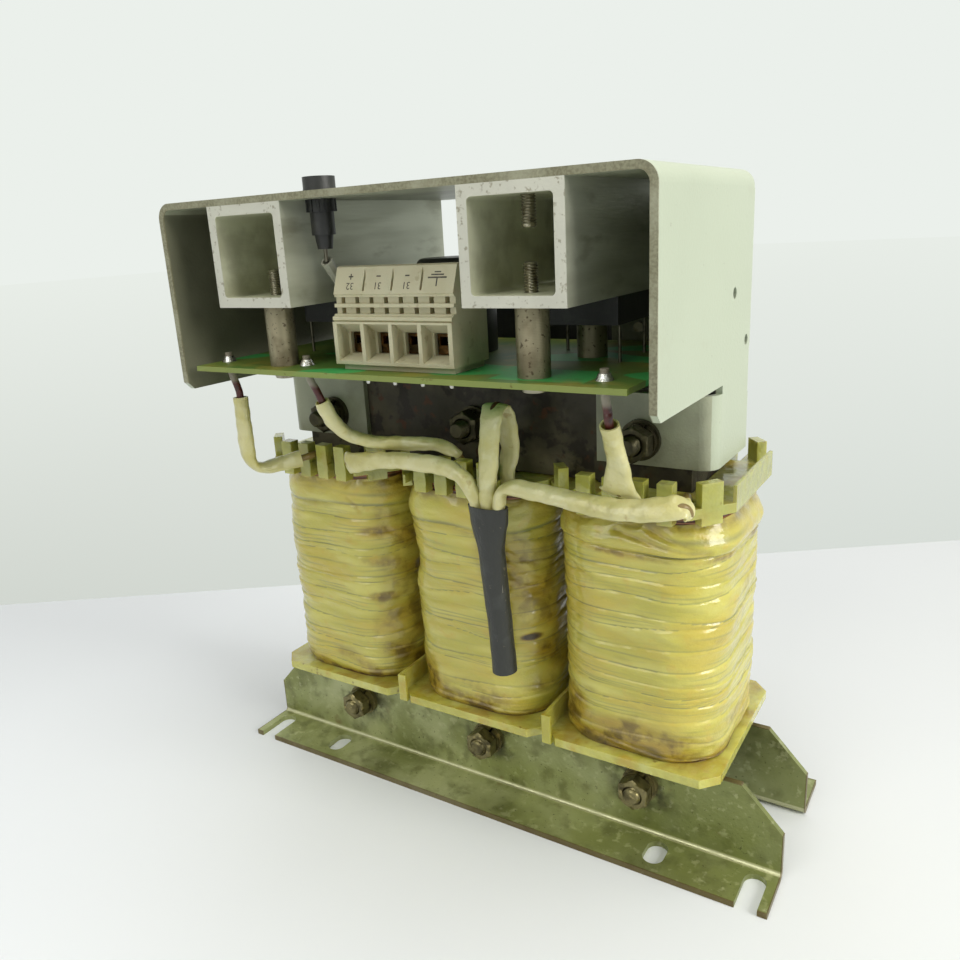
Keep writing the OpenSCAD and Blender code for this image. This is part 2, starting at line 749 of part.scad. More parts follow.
// One square tube with rounded inner corners, and with screw holes in its roof and in its floor
module tube_shape(x) {
  inner = tube_w / 2 - tube_wall;
  translate([x, 0, 0])
    difference() {
      translate([-tube_w / 2, -hood_front, tube_z])
        cube([tube_w, tube_l, tube_w]);
      translate([0, tube_l - hood_front + 1, tube_z + tube_w / 2])
        rotate([90, 0, 0])
          linear_extrude(tube_l + 2)
            round_rect([inner, inner], tube_inner_r);
      for (p = hood_screw_points)
        if (p[0] == x)
          translate([0, p[1], hood_under - tube_wall - 1])
            cylinder(h = tube_wall + 2, d = screw_d + 0.04);
      for (y = [screw_y, rect_y])
        translate([0, y, tube_z - 1])
          cylinder(h = tube_wall + 2, d = screw_d + 0.04);
    }
}

module heat_sink_tube_left() {
  color([0.80, 0.80, 0.77])
    tube_shape(-tube_x);
}

module heat_sink_tube_right() {
  color([0.80, 0.80, 0.77])
    tube_shape(tube_x);
}

// Countersunk screws from the hood's top into the tubes
module hood_screws() {
  color([0.55, 0.53, 0.48])
    for (p = hood_screw_points)
      translate([p[0], p[1], 0])
        difference() {
          union() {
            translate([0, 0, hood_top - hood_screw_l])
              cylinder(h = hood_screw_l - 1, d = screw_d);
            translate([0, 0, hood_top - 2])
              cylinder(h = 1.9, d1 = screw_d, d2 = screw_d + 3.8);
          }
          translate([-0.4, -3, hood_top - 0.9])
            cube([0.8, 6, 2]);
        }
}

// Spacers between the board and the tubes, at the front
module front_spacers() {
  color([0.40, 0.38, 0.32])
    for (x = [-tube_x, tube_x])
      translate([x, screw_y, board_top])
        difference() {
          cylinder(h = spacer_l, d = spacer_d);
          translate([0, 0, -1])
            cylinder(h = spacer_l + 2, d = screw_hole_d);
        }
}

// Shorter spacers under the rectifiers
module rectifier_spacers() {
  color([0.40, 0.38, 0.32])
    for (x = [-tube_x, tube_x])
      translate([x, rect_y, board_top])
        difference() {
          cylinder(h = spacer_l - rect_h, d = spacer_d);
          translate([0, 0, -1])
            cylinder(h = spacer_l + 2, d = screw_hole_d);
        }
}

// Pan head screws that hold the board up to the tubes
module board_screws() {
  color([0.58, 0.56, 0.50])
    for (x = [-tube_x, tube_x])
      for (y = [screw_y, rect_y])
        translate([x, y, board_under]) {
          cylinder(h = board_screw_l, d = screw_d);
          difference() {
            translate([0, 0, -2.6])
              cylinder(h = 2.6, d1 = 6.4, d2 = 8);
            for (a = [0, 90])
              rotate([0, 0, a])
                translate([-2.2, -0.4, -3])
                  cube([4.4, 0.8, 1.6]);
          }
        }
}

// Circuit board with holes for screws, wire leads and pins
module circuit_board() {
  color([0.24, 0.55, 0.25])
    difference() {
      translate([-board_l / 2, board_front, board_under])
        cube([board_l, board_w, board_t]);
      for (x = [-tube_x, tube_x]) {
        for (y = [screw_y, rect_y])
          translate([x, y, board_under - 1])
            cylinder(h = board_t + 2, d = screw_hole_d);
        for (sx = [-1, 1])
          for (sy = [-1, 1])
            translate([x + sx * rect_lead_x, rect_y + sy * rect_lead_y, board_under - 1])
              cylinder(h = board_t + 2, d = lead_d + 0.4);
      }
      for (s = [-1, 1])
        translate([cap_x + s * cap_pin, cap_y, board_under - 1])
          cylinder(h = board_t + 2, d = lead_d + 0.4);
      for (i = [0:poles - 1])
        for (y = terminal_pin_y)
          translate([block_x + (i - (poles - 1) / 2) * pole_pitch, y, board_under - 1])
            cylinder(h = board_t + 2, d = lead_d + 0.4);
      for (p = pad_points)
        translate([p[0], p[1], board_under - 1])
          cylinder(h = board_t + 2, d = wire_d + 0.6);
      translate([-22, -35.6, board_under - 1])
        cylinder(h = board_t + 2, d = 1.8);
    }
}

// One bridge rectifier block with a bevelled corner and a screw hole
module rectifier_shape(x) {
  translate([x, rect_y, rect_z])
    difference() {
      linear_extrude(rect_h)
        polygon([[-rect_w / 2 + 4, -rect_w / 2], [rect_w / 2, -rect_w / 2], [rect_w / 2, rect_w / 2],
          [-rect_w / 2, rect_w / 2], [-rect_w / 2, -rect_w / 2 + 4]]);
      translate([0, 0, -1])
        cylinder(h = rect_h + 2, d = screw_hole_d);
    }
}

module rectifier_left() {
  color([0.10, 0.10, 0.10])
    rectifier_shape(-tube_x);
}

module rectifier_right() {
  color([0.10, 0.10, 0.10])
    rectifier_shape(tube_x);
}

// Wire leads of both rectifiers, down through the board
module rectifier_leads() {
  color([0.66, 0.64, 0.58])
    for (x = [-tube_x, tube_x])
      for (sx = [-1, 1])
        for (sy = [-1, 1])
          translate([x + sx * rect_lead_x, rect_y + sy * rect_lead_y, pin_end])
            cylinder(h = rect_z - pin_end, d = lead_d);
}

// Upright can with a rounded top edge
module smoothing_capacitor() {
  color([0.16, 0.17, 0.17])
    translate([cap_x, cap_y, board_top])
      rotate_extrude() {
        square([cap_d / 2 - 2, cap_h]);
        square([cap_d / 2, cap_h - 2]);
        translate([cap_d / 2 - 2, cap_h - 2])
          intersection() {
            circle(r = 2);
            square([2, 2]);
          }
      }
}

module capacitor_pins() {
  color([0.70, 0.69, 0.64])
    for (s = [-1, 1])
      translate([cap_x + s * cap_pin, cap_y, pin_end])
        cylinder(h = board_top - pin_end, d = lead_d);
}

// Side outline of the output terminal, with Y along the first axis and Z along the second
function block_side() = [[block_rear, block_foot_z], [block_front, block_foot_z],
  [block_front, board_top + 14.2], [block_front + 0.9, board_top + 14.2],
  [block_front + 0.3, board_top + 14.7],
  [block_front + 0.3, board_top + 15.6], [block_front + 1.3, board_top + 15.9],
  [block_front + 2, board_top + 21.6], [block_front + 1.6, board_top + 22],
  [block_front + 4.4, board_top + 29.4], [block_front + 5.4, board_top + 29.8],
  [block_rear, board_top + 26]];

// Wire funnel of one pole: wide in front, square at the clamp
module wire_funnel() {
  rotate([90, 0, 90])
    translate([0, 0, -(pole_pitch - 1.3) / 2])
      linear_extrude(pole_pitch - 1.3)
        polygon([[block_front - 1, board_top + 2.4], [block_front + 5, board_top + 4.4],
          [block_front + 5, board_top + 10.8], [block_front + 1.2, board_top + 13.6],
          [block_front - 1, board_top + 13.6]]);
  translate([-(pole_pitch - 3) / 2, block_front + 4, board_top + 4.4])
    cube([pole_pitch - 3, 10, 6.4]);
}

// Housing of the output terminal: funnels, two grooves with narrow slots and a sloping face with divisions
module terminal_housing() {
  color([0.80, 0.78, 0.68])
    difference() {
      union() {
        translate([block_x - block_w / 2, 0, 0])
          rotate([90, 0, 90])
            linear_extrude(block_w)
              polygon(block_side());
        translate([block_x - block_w / 2 + 1.4, block_front + 2, board_top])
          cube([block_w - 2.4, block_rear - block_front - 3, 3]);
      }
      for (i = [0:poles - 1])
        translate([block_x + (i - (poles - 1) / 2) * pole_pitch, 0, 0]) {
          wire_funnel();
          translate([0, terminal_screw_y, board_top + 9])
            cylinder(h = 30, d = 4.6);
          for (y = terminal_pin_y)
            translate([0, y, board_top - 1])
              cylinder(h = 6, d = lead_d + 0.4);
        }
      for (z = [16.3, 19.2]) {
        translate([block_x - block_w / 2 - 1, block_front - 1, board_top + z])
          cube([block_w + 2, 3.7, 1.9]);
        for (k = [0:2 * poles - 1])
          translate([block_x - block_w / 2 + (k + 0.5) * block_w / (2 * poles) - 0.75, block_front - 1,
            board_top + z])
            cube([1.5, 6, 1.9]);
      }
      for (i = [1:poles - 1])
        translate([block_x + (i - poles / 2) * pole_pitch - 0.35, block_front - 1, board_top + 22.8])
          cube([0.7, 5.2, 6.2]);
    }
}

// Clamps inside the terminal, each with two solder pins through the board
module terminal_clamps() {
  color([0.72, 0.45, 0.30])
    for (i = [0:poles - 1])
      translate([block_x + (i - (poles - 1) / 2) * pole_pitch, 0, 0]) {
        difference() {
          translate([-3.2, block_front + 6, board_top + 4.6])
            cube([6.4, 7.6, 5.9]);
          translate([-2.3, block_front + 5, board_top + 7.2])
            cube([4.6, 8, 2.4]);
          translate([0, terminal_screw_y, board_top + 9])
            cylinder(h = 4, d = 3.1);
        }
        for (y = terminal_pin_y) {
          z = y == terminal_pin_y[0] ? long_pin_end : pin_end;
          translate([0, y, z])
            cylinder(h = board_top + 4.7 - z, d = lead_d);
        }
      }
}

// Clamping screws of the terminal, sunk in their wells
module terminal_screws() {
  color([0.70, 0.68, 0.62])
    for (i = [0:poles - 1])
      translate([block_x + (i - (poles - 1) / 2) * pole_pitch, terminal_screw_y, 0])
        difference() {
          union() {
            translate([0, 0, board_top + 7.6])
              cylinder(h = 4, d = 3);
            translate([0, 0, board_top + 10.6])
              cylinder(h = 4, d = 4.3);
          }
          translate([-3, -0.4, board_top + 13.6])
            cube([6, 0.8, 2]);
        }
}

// Body of the fuse holder, with a collar on the hood and a tapered lower end
module fuse_holder_body() {
  color([0.10, 0.10, 0.10])
    translate([fuse_x, fuse_y, hood_top])
      difference() {
        union() {
          cylinder(h = 0.8, d = fuse_cap_d + 0.2);
          translate([0, 0, -12])
            cylinder(h = 12.1, d = fuse_body_d);
          translate([0, 0, -16])
            cylinder(h = 4.1, d1 = 4.4, d2 = 5.6);
        }
        translate([0, 0, -11])
          cylinder(h = 20, d = 5.4);
      }
}

// Ribbed nut under the hood
module fuse_holder_nut() {
  color([0.12, 0.12, 0.12])
    translate([fuse_x, fuse_y, hood_under - 3.5])
      difference() {
        union() {
          cylinder(h = 3.5, d = fuse_body_d + 1.4);
          for (a = [0:30:330])
            rotate([0, 0, a])
              translate([fuse_body_d / 2 + 0.3, -0.35, 0])
                cube([0.7, 0.7, 3.5]);
        }
        translate([0, 0, -1])
          cylinder(h = 6, d = fuse_body_d + 0.04);
      }
}

// Screw cap with a coin slot
module fuse_cap() {
  color([0.08, 0.08, 0.08])
    translate([fuse_x, fuse_y, hood_top])
      difference() {
        union() {
          translate([0, 0, 0.8])
            cylinder(h = 3.4, d = fuse_cap_d);
          translate([0, 0, -4])
            cylinder(h = 4.9, d = 5.2);
        }
        translate([-4, -0.6, 3.2])
          cube([8, 1.2, 2]);
      }
}

module fuse_cartridge() {
  color([0.85, 0.87, 0.88])
    translate([fuse_x, fuse_y, hood_top - 11])
      cylinder(h = 7, d = 5);
}

module fuse_lead_wire() {
  color([0.75, 0.70, 0.55])
    swept_wire(part_of(path_fuse, 0, 6), 0.6, [1, 0, 0], 8);
}

module fuse_lead_sleeve() {
  color([0.84, 0.80, 0.66])
    swept_sleeve(part_of(path_fuse, 1, 5), [1.9, 1.5, 1.4, 1.4, 1.4], [1.9, 1.5, 1.4, 1.4, 1.4], 0.5,
      [1, 0, 0], 8);
}

// Solder cones around the three wire ends on the board
module solder_joints() {
  color([0.74, 0.74, 0.70])
    for (p = pad_points)
      translate([p[0], p[1], board_top])
        difference() {
          cylinder(h = 1.8, d1 = 4.8, d2 = wire_d + 0.7);
          translate([0, 0, -1])
            cylinder(h = 4, d = wire_d + 0.06);
        }
}

// Half widths of a sleeve that ends in the heat-shrink sleeve
function star_sizes(n) = [for (i = [0:n - 1]) i >= n - 2 ? 1.95 : i == n - 3 ? 2.4 : sleeve_d / 2];
function round_sizes(n) = same(n, sleeve_d / 2);
sleeve_wall = (sleeve_d - wire_d - 0.6) / 2;

module phase_wire_left() {
  color([0.42, 0.14, 0.10])
    swept_wire(path_left, wire_d / 2, [1, 0, 0], 8);
}

module phase_sleeve_left() {
  color([0.86, 0.84, 0.66])
    swept_sleeve(part_of(path_left, 3, 8), round_sizes(6), round_sizes(6), sleeve_wall, [1, 0, 0], 10);
}

module phase_wire_middle() {
  color([0.42, 0.14, 0.10])
    swept_wire(path_middle, wire_d / 2, [1, 0, 0], 8);
}

module phase_sleeve_middle() {
  color([0.86, 0.84, 0.66])
    swept_sleeve(part_of(path_middle, 3, 9), round_sizes(7), round_sizes(7), sleeve_wall, [1, 0, 0], 10);
}

module phase_wire_right() {
  color([0.42, 0.14, 0.10])
    swept_wire(path_right, wire_d / 2, [1, 0, 0], 8);
}

module phase_sleeve_right() {
  color([0.86, 0.84, 0.66])
    swept_sleeve(part_of(path_right, 3, 6), round_sizes(4), round_sizes(4), sleeve_wall, [1, 0, 0], 10);
}

module star_wire_left() {
  color([0.42, 0.14, 0.10])
    swept_wire(path_star_left, wire_d / 2, [1, 0, 0], 8);
}

module star_sleeve_left() {
  color([0.86, 0.84, 0.66])
    swept_sleeve(part_of(path_star_left, 3, 11), star_sizes(9), star_sizes(9), 0.5, [0, 1, 0], 10);
}

module star_wire_middle() {
  color([0.42, 0.14, 0.10])
    swept_wire(path_star_middle, wire_d / 2, [1, 0, 0], 8);
}

module star_sleeve_middle() {
  color([0.86, 0.84, 0.66])
    swept_sleeve(part_of(path_star_middle, 1, 9), star_sizes(9), star_sizes(9), 0.5, [1, 0, 0], 10);
}

module star_wire_right() {
  color([0.42, 0.14, 0.10])
    swept_wire(path_star_right, wire_d / 2, [1, 0, 0], 8);
}

module star_sleeve_right() {
  color([0.86, 0.84, 0.66])
    swept_sleeve(part_of(path_star_right, 3, 11), star_sizes(9), star_sizes(9), 0.5, [0, 1, 0], 10);
}

// Soldered star point inside the heat-shrink sleeve
module star_joint() {
  color([0.70, 0.69, 0.64])
    translate([14.8, -39.7, star_top - 8])
      cube([7.2, 2.9, 8]);
}

// Dark heat-shrink sleeve: wide where the three sleeves enter, round at its lower end
module heat_shrink_sleeve() {
  color([0.22, 0.24, 0.23])
    swept_sleeve(path_heat_shrink, [8, 7.2, 5.8, 5, 4.7], [3.4, 3.8, 4.4, 4.6, 4.7], 0.6, [1, 0, 0], 12);
}

// Dark strip with the taps of the primary winding, on the hood's rear flanges
module tap_strip_body() {
  color([0.07, 0.07, 0.07])
    difference() {
      union() {
        translate([-strip_l / 2, tab_y, strip_z])
          cube([strip_l, strip_t, strip_h]);
        for (i = [0:strip_poles])
          translate([(i - strip_poles / 2) * strip_pitch - strip_wall / 2, tab_y + strip_t - 0.1, strip_z])
            cube([strip_wall, 6.1, strip_h]);
      }
      for (sx = [-1, 1])
        y_bar(sx * strip_fix_x, strip_z + 14, tab_y - 1, tab_y + strip_t + 1, 3.6);
    }
}

// Terminal screws of the taps, and the two screws that hold the strip to the flanges
module tap_strip_terminals() {
  color([0.68, 0.64, 0.50]) {
    for (i = [0:strip_poles - 1]) {
      x = (i - (strip_poles - 1) / 2) * strip_pitch;
      plate_w = strip_pitch - strip_wall - 2 * strip_gap;
      translate([x - plate_w / 2, tab_y + strip_t, strip_z + 3])
        cube([plate_w, 0.8, strip_h - 6]);
      y_bar(x, strip_z + strip_h / 2, tab_y + strip_t + 0.7, tab_y + strip_t + 3, 6);
    }
    for (sx = [-1, 1]) {
      y_bar(sx * strip_fix_x, strip_z + 14, tab_y + strip_t, tab_y + strip_t + 2.2, 6.4);
      y_bar(sx * strip_fix_x, strip_z + 14, tab_y - sheet_t - 1.5, tab_y + strip_t + 0.1, 3.36);
    }
  }
}

core_e_laminations();
core_yoke_laminations();
bobbin_left();
bobbin_middle();
bobbin_right();
primary_windings();
interlayer_insulation();
secondary_windings();
coil_wrap_left();
coil_wrap_middle();
coil_wrap_right();
foot_angle_front();
foot_angle_rear();
lower_clamp_bolts();
lower_flat_washers();
lower_spring_washers();
lower_nuts();
upper_clamp_bolts();
upper_flat_washers();
upper_spring_washers();
upper_nuts();
hood();
heat_sink_tube_left();
heat_sink_tube_right();
hood_screws();
front_spacers();
rectifier_spacers();
board_screws();
circuit_board();
rectifier_left();
rectifier_right();
rectifier_leads();
smoothing_capacitor();
capacitor_pins();
terminal_housing();
terminal_clamps();
terminal_screws();
fuse_holder_body();
fuse_holder_nut();
fuse_cap();
fuse_cartridge();
fuse_lead_wire();
fuse_lead_sleeve();
solder_joints();
phase_wire_left();
phase_sleeve_left();
phase_wire_middle();
phase_sleeve_middle();
phase_wire_right();
phase_sleeve_right();
star_wire_left();
star_sleeve_left();
star_wire_middle();
star_sleeve_middle();
star_wire_right();
star_sleeve_right();
star_joint();
heat_shrink_sleeve();
tap_strip_body();
tap_strip_terminals();
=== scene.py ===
import bmesh
import bpy
import numpy as np
from mathutils import Matrix, Vector


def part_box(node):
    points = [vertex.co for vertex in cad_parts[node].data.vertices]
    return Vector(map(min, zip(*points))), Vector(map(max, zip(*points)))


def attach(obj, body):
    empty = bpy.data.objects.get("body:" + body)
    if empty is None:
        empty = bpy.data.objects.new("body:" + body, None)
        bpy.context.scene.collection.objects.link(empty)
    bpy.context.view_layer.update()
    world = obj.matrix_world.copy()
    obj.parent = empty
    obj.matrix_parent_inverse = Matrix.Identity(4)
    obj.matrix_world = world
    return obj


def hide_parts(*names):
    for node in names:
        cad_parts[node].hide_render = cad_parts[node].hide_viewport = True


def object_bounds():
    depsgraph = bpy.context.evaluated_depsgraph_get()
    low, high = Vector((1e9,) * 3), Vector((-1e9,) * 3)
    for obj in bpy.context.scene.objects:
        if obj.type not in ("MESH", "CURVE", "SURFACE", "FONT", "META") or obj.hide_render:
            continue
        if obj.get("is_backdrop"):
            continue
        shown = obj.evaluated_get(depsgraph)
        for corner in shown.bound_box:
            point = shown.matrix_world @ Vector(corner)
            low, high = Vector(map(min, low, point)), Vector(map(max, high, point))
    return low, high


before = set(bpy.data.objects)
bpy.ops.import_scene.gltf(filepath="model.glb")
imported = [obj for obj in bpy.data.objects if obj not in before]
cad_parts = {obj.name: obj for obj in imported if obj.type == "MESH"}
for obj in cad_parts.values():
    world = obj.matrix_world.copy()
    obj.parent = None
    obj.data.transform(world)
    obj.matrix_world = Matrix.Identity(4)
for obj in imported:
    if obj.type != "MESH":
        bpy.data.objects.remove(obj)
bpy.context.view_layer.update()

# Camera. It stands close in front of the transformer and a little to its right, about level with
# the top of the hood, and is rolled slightly, as the photograph was taken by hand.
def add(name, data):
    """Puts new data into the scene as an object of that name."""
    thing = bpy.data.objects.new(name, data)
    bpy.context.scene.collection.objects.link(thing)
    return thing


turn, rise, roll = np.radians([32.63, 16.55, -3.18])
view_back = Vector((np.sin(turn) * np.cos(rise), -np.cos(turn) * np.cos(rise), np.sin(rise)))
level_right = Vector((np.cos(turn), np.sin(turn), 0))
level_up = view_back.cross(level_right)
view_right = np.cos(roll) * level_right + np.sin(roll) * level_up
view_up = np.cos(roll) * level_up - np.sin(roll) * level_right
camera_data = bpy.data.cameras.new("camera")
camera_data.sensor_width = 36
camera_data.lens = 31.62
camera_data.clip_start = 0.01
camera = add("camera", camera_data)
camera.matrix_world = (
    Matrix.Translation((0.15065, -0.25037, 0.20323))
    @ Matrix((view_right, view_up, view_back)).transposed().to_4x4()
)
bpy.context.scene.camera = camera
bpy.context.scene.view_settings.view_transform = "Standard"


# Studio. The photograph shows a white table top and a pale grey-green wall a hand's width behind
# the transformer; both are stage, and soft lamps stand to the right, above and in front.
def tone(red, green, blue):
    """A colour of 0 to 255 per channel, as a screen shows it, on the shader's linear scale."""
    level = np.array([red, green, blue]) / 255
    linear = np.where(level < 0.04045, level / 12.92, ((level + 0.055) / 1.055) ** 2.4)
    return (*linear.tolist(), 1.0)


class Finish:
    """A material painted up in layers, as a surface is: base coat, stains, wear and relief. Its
    Principled shader takes colour, roughness and relief from textures in Object coordinates."""

    def __init__(self, name, colour, roughness, **sockets):
        self.material = bpy.data.materials.new(name)
        self.material.use_nodes = True
        self.tree = self.material.node_tree
        self.shader = self.tree.nodes["Principled BSDF"]
        self.place = self.tree.nodes.new("ShaderNodeTexCoord").outputs["Object"]
        self.colour = tone(*colour)
        self.gloss = roughness
        self.shader.inputs["Base Color"].default_value = self.colour
        self.shader.inputs["Roughness"].default_value = roughness
        for socket, value in sockets.items():
            self.shader.inputs[socket.replace("_", " ")].default_value = value
        self.normal = None

    def join(self, socket, value):
        """Links a socket to another, or sets it where the value is a plain number or colour."""
        if isinstance(value, bpy.types.NodeSocket):
            self.tree.links.new(value, socket)
        else:
            socket.default_value = value

    def sum(self, operation, first, second=0.0, third=0.0):
        """One step of arithmetic between two or three cover values."""
        step = self.tree.nodes.new("ShaderNodeMath")
        step.operation = operation
        for socket, value in zip(step.inputs, (first, second, third)):
            self.join(socket, value)
        return step.outputs[0]

    def both(self, first, second):
        """One cover where two covers meet."""
        return self.sum("MULTIPLY", first, second)

    def blend(self, share, first, second):
        """The colour between two others, by the share of the second."""
        mix = self.tree.nodes.new("ShaderNodeMix")
        mix.data_type = "RGBA"
        for place, value in ((0, share), (6, first), (7, second)):
            self.join(mix.inputs[place], value)
        return mix.outputs[2]

    def between(self, value, low, high):
        """0 where the value is at or below low, 1 at high, and a soft rise between them."""
        span = self.tree.nodes.new("ShaderNodeMapRange")
        span.interpolation_type = "SMOOTHSTEP"
        self.join(span.inputs["Value"], value)
        if low < high:
            ends = (low, high, 0.0, 1.0)
        else:
            ends = (high, low, 1.0, 0.0)
        for socket, end in zip(("From Min", "From Max", "To Min", "To Max"), ends):
            span.inputs[socket].default_value = end
        return span.outputs["Result"]

    def moved(self, stretch, seed):
        """The Object coordinates, stretched along an axis and shifted so that patterns differ."""
        mapping = self.tree.nodes.new("ShaderNodeMapping")
        self.tree.links.new(self.place, mapping.inputs["Vector"])
        mapping.inputs["Location"].default_value = (0.137 * seed, 0.071 * seed, 0.113 * seed)
        mapping.inputs["Scale"].default_value = tuple(1 / s for s in stretch)
        return mapping.outputs["Vector"]

    def clouds(self, size, low, high, detail=4, stretch=(1, 1, 1), seed=1):
        """Cloudy blotches of that size in millimetres, as a cover from 0 to 1."""
        noise = self.tree.nodes.new("ShaderNodeTexNoise")
        self.tree.links.new(self.moved(stretch, seed), noise.inputs["Vector"])
        noise.inputs["Scale"].default_value = 1000 / size
        noise.inputs["Detail"].default_value = detail
        return self.between(noise.outputs["Fac"], low, high)

    def lines(self, axis, pitch, low, high, wander=0.0):
        """Parallel lines across an axis at that pitch in millimetres, as a cover from 0 to 1."""
        wave = self.tree.nodes.new("ShaderNodeTexWave")
        wave.bands_direction = axis
        self.tree.links.new(self.place, wave.inputs["Vector"])
        lines_per_metre = 3.1831  # of the wave texture at scale 1
        wave.inputs["Scale"].default_value = 1000 / (pitch * lines_per_metre)
        wave.inputs["Distortion"].default_value = wander
        return self.between(wave.outputs["Fac"], low, high)

    def along(self, axis, low, high):
        """0 below the first place on that axis and 1 above the second, in millimetres."""
        parts = self.tree.nodes.new("ShaderNodeSeparateXYZ")
        self.tree.links.new(self.place, parts.inputs[0])
        return self.between(parts.outputs["XYZ".index(axis)], low / 1000, high / 1000)

    def apart(self, axis, low, high, middle=0.0):
        """The same as along, by the distance to both sides of a middle plane."""
        parts = self.tree.nodes.new("ShaderNodeSeparateXYZ")
        self.tree.links.new(self.place, parts.inputs[0])
        moved = self.sum("SUBTRACT", parts.outputs["XYZ".index(axis)], middle / 1000)
        return self.between(self.sum("ABSOLUTE", moved), low / 1000, high / 1000)

    def facing(self, axis, low, high):
        """Cover by the surface's own direction along one axis, from -1 to 1."""
        geometry = self.tree.nodes.new("ShaderNodeNewGeometry")
        parts = self.tree.nodes.new("ShaderNodeSeparateXYZ")
        self.tree.links.new(geometry.outputs["Normal"], parts.inputs[0])
        return self.between(parts.outputs["XYZ".index(axis)], low, high)

    def drawn(self, name):
        """A value that the piece carries at each of its points, worked out with its shape."""
        attribute = self.tree.nodes.new("ShaderNodeAttribute")
        attribute.attribute_name = name
        return attribute.outputs["Fac"]

    def paint(self, cover, colour, strength=1.0):
        """Lays another colour over the ones so far, where cover is 1."""
        self.colour = self.blend(self.both(cover, strength), self.colour, tone(*colour))
        self.tree.links.new(self.colour, self.shader.inputs["Base Color"])
        return self

    def mottle(self, size, low, high, colour, strength=1.0, **pattern):
        """Lays another colour over cloudy blotches of that size."""
        return self.paint(self.clouds(size, low, high, **pattern), colour, strength)

    def polish(self, cover, roughness):
        """Changes the roughness to another value where cover is 1."""
        mix = self.tree.nodes.new("ShaderNodeMix")
        self.join(mix.inputs[0], cover)
        self.join(mix.inputs[2], self.gloss)
        mix.inputs[3].default_value = roughness
        self.gloss = mix.outputs[0]
        self.tree.links.new(self.gloss, self.shader.inputs["Roughness"])
        return self

    def rounded(self, radius):
        """Lets the edges look rounded by that radius in millimetres."""
        bevel = self.tree.nodes.new("ShaderNodeBevel")
        bevel.samples = 4
        bevel.inputs["Radius"].default_value = radius / 1000
        self.normal = bevel.outputs["Normal"]
        self.tree.links.new(self.normal, self.shader.inputs["Normal"])
        return self

    def relief(self, height, depth):
        """Raises the surface by depth millimetres where height is 1."""
        bump = self.tree.nodes.new("ShaderNodeBump")
        bump.inputs["Distance"].default_value = depth / 1000
        self.join(bump.inputs["Height"], height)
        if self.normal:
            self.tree.links.new(self.normal, bump.inputs["Normal"])
        self.normal = bump.outputs["Normal"]
        self.tree.links.new(self.normal, self.shader.inputs["Normal"])
        return self

    def grain(self, size, low, high, depth, **pattern):
        """Raises cloudy blotches of that size by depth millimetres."""
        return self.relief(self.clouds(size, low, high, **pattern), depth)

    def dress(self, *nodes):
        """Puts the finish on solids of the frame."""
        for node in nodes:
            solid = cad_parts[node]
            for place in solid.material_slots:
                place.material = self.material
            if not solid.material_slots:
                solid.data.materials.append(self.material)


wall_normal, wall_edge = (-0.5650, 0.8251), (0.1905, 0.1925)
eye_distance, line_distance = 0.2917, 0.483


def wall_line(finish):
    """Two covers: 0 on the table's side of the line where table and wall meet and 1 on the wall's
    side, and the height on the wall, as one less the distance to the line over the distance to
    the place, both from where the wall is looked at: 0 at that line and 1 far up."""
    parts = finish.tree.nodes.new("ShaderNodeSeparateXYZ")
    finish.tree.links.new(finish.place, parts.inputs[0])
    across = finish.sum("MULTIPLY", parts.outputs["X"], wall_normal[0])
    depth = finish.sum("MULTIPLY_ADD", parts.outputs["Y"], wall_normal[1], across)
    reach = finish.sum("ADD", depth, eye_distance)
    height = finish.sum("SUBTRACT", 1.0, finish.sum("DIVIDE", line_distance, reach))
    return finish.between(depth, *wall_edge), height


table_finish = Finish("table_top", (220, 224, 227), 0.6, Specular_IOR_Level=0.1)
table_finish.mottle(260, 0.35, 0.7, (225, 229, 230), detail=1)
# Painted light and shade on the table: lighter towards the left, darker towards the right.
table_finish.paint(table_finish.along("X", 260, -140), (233, 238, 243), 0.9)
table_finish.paint(table_finish.along("X", 100, 400), (199, 206, 212), 0.8)
# The wall glows rather than being lit, with painted shading: darker at its foot and to the left,
# lighter higher up.
wall_share = table_finish.along("X", -600, 500)
wall_foot = table_finish.blend(wall_share, tone(208, 213, 206), tone(219, 225, 219))
wall_side, wall_height = wall_line(table_finish)
wall_glow = table_finish.tree.nodes.new("ShaderNodeEmission")
wall_colour = table_finish.blend(wall_height, wall_foot, tone(234, 239, 233))
table_finish.join(wall_glow.inputs["Color"], wall_colour)
wall_mix = table_finish.tree.nodes.new("ShaderNodeMixShader")
wall_shares = (wall_side, table_finish.shader.outputs[0], wall_glow.outputs[0])
for socket, value in zip(wall_mix.inputs, wall_shares):
    table_finish.join(socket, value)
output = table_finish.tree.nodes["Material Output"]
table_finish.join(output.inputs["Surface"], wall_mix.outputs[0])

table_reach = 6.0
table_mesh = bpy.data.meshes.new("table_top")
table_mesh.from_pydata(
    [(x * table_reach, y * table_reach, 0) for x, y in ((-1, -1), (1, -1), (1, 1), (-1, 1))],
    [],
    [(0, 1, 2, 3)],
)
table_mesh.materials.append(table_finish.material)
table = add("table_top", table_mesh)
table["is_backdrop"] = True

world = bpy.data.worlds.new("studio")
bpy.context.scene.world = world
world.use_nodes = True
sky = world.node_tree
ambient = sky.nodes["Background"]
ambient.inputs["Color"].default_value = tone(246, 250, 246)
ambient.inputs["Strength"].default_value = 0.15
wall_tone = sky.nodes.new("ShaderNodeBackground")
wall_tone.inputs["Color"].default_value = tone(235, 240, 235)
seen = sky.nodes.new("ShaderNodeLightPath")
wall_seen = seen.outputs["Is Camera Ray"]
for ray in ("Is Transmission Ray", "Is Glossy Ray"):
    either = sky.nodes.new("ShaderNodeMath")
    either.operation = "MAXIMUM"
    sky.links.new(wall_seen, either.inputs[0])
    sky.links.new(seen.outputs[ray], either.inputs[1])
    wall_seen = either.outputs[0]
sky_mix = sky.nodes.new("ShaderNodeMixShader")
for k, share in enumerate((wall_seen, ambient.outputs[0], wall_tone.outputs[0])):
    sky.links.new(share, sky_mix.inputs[k])
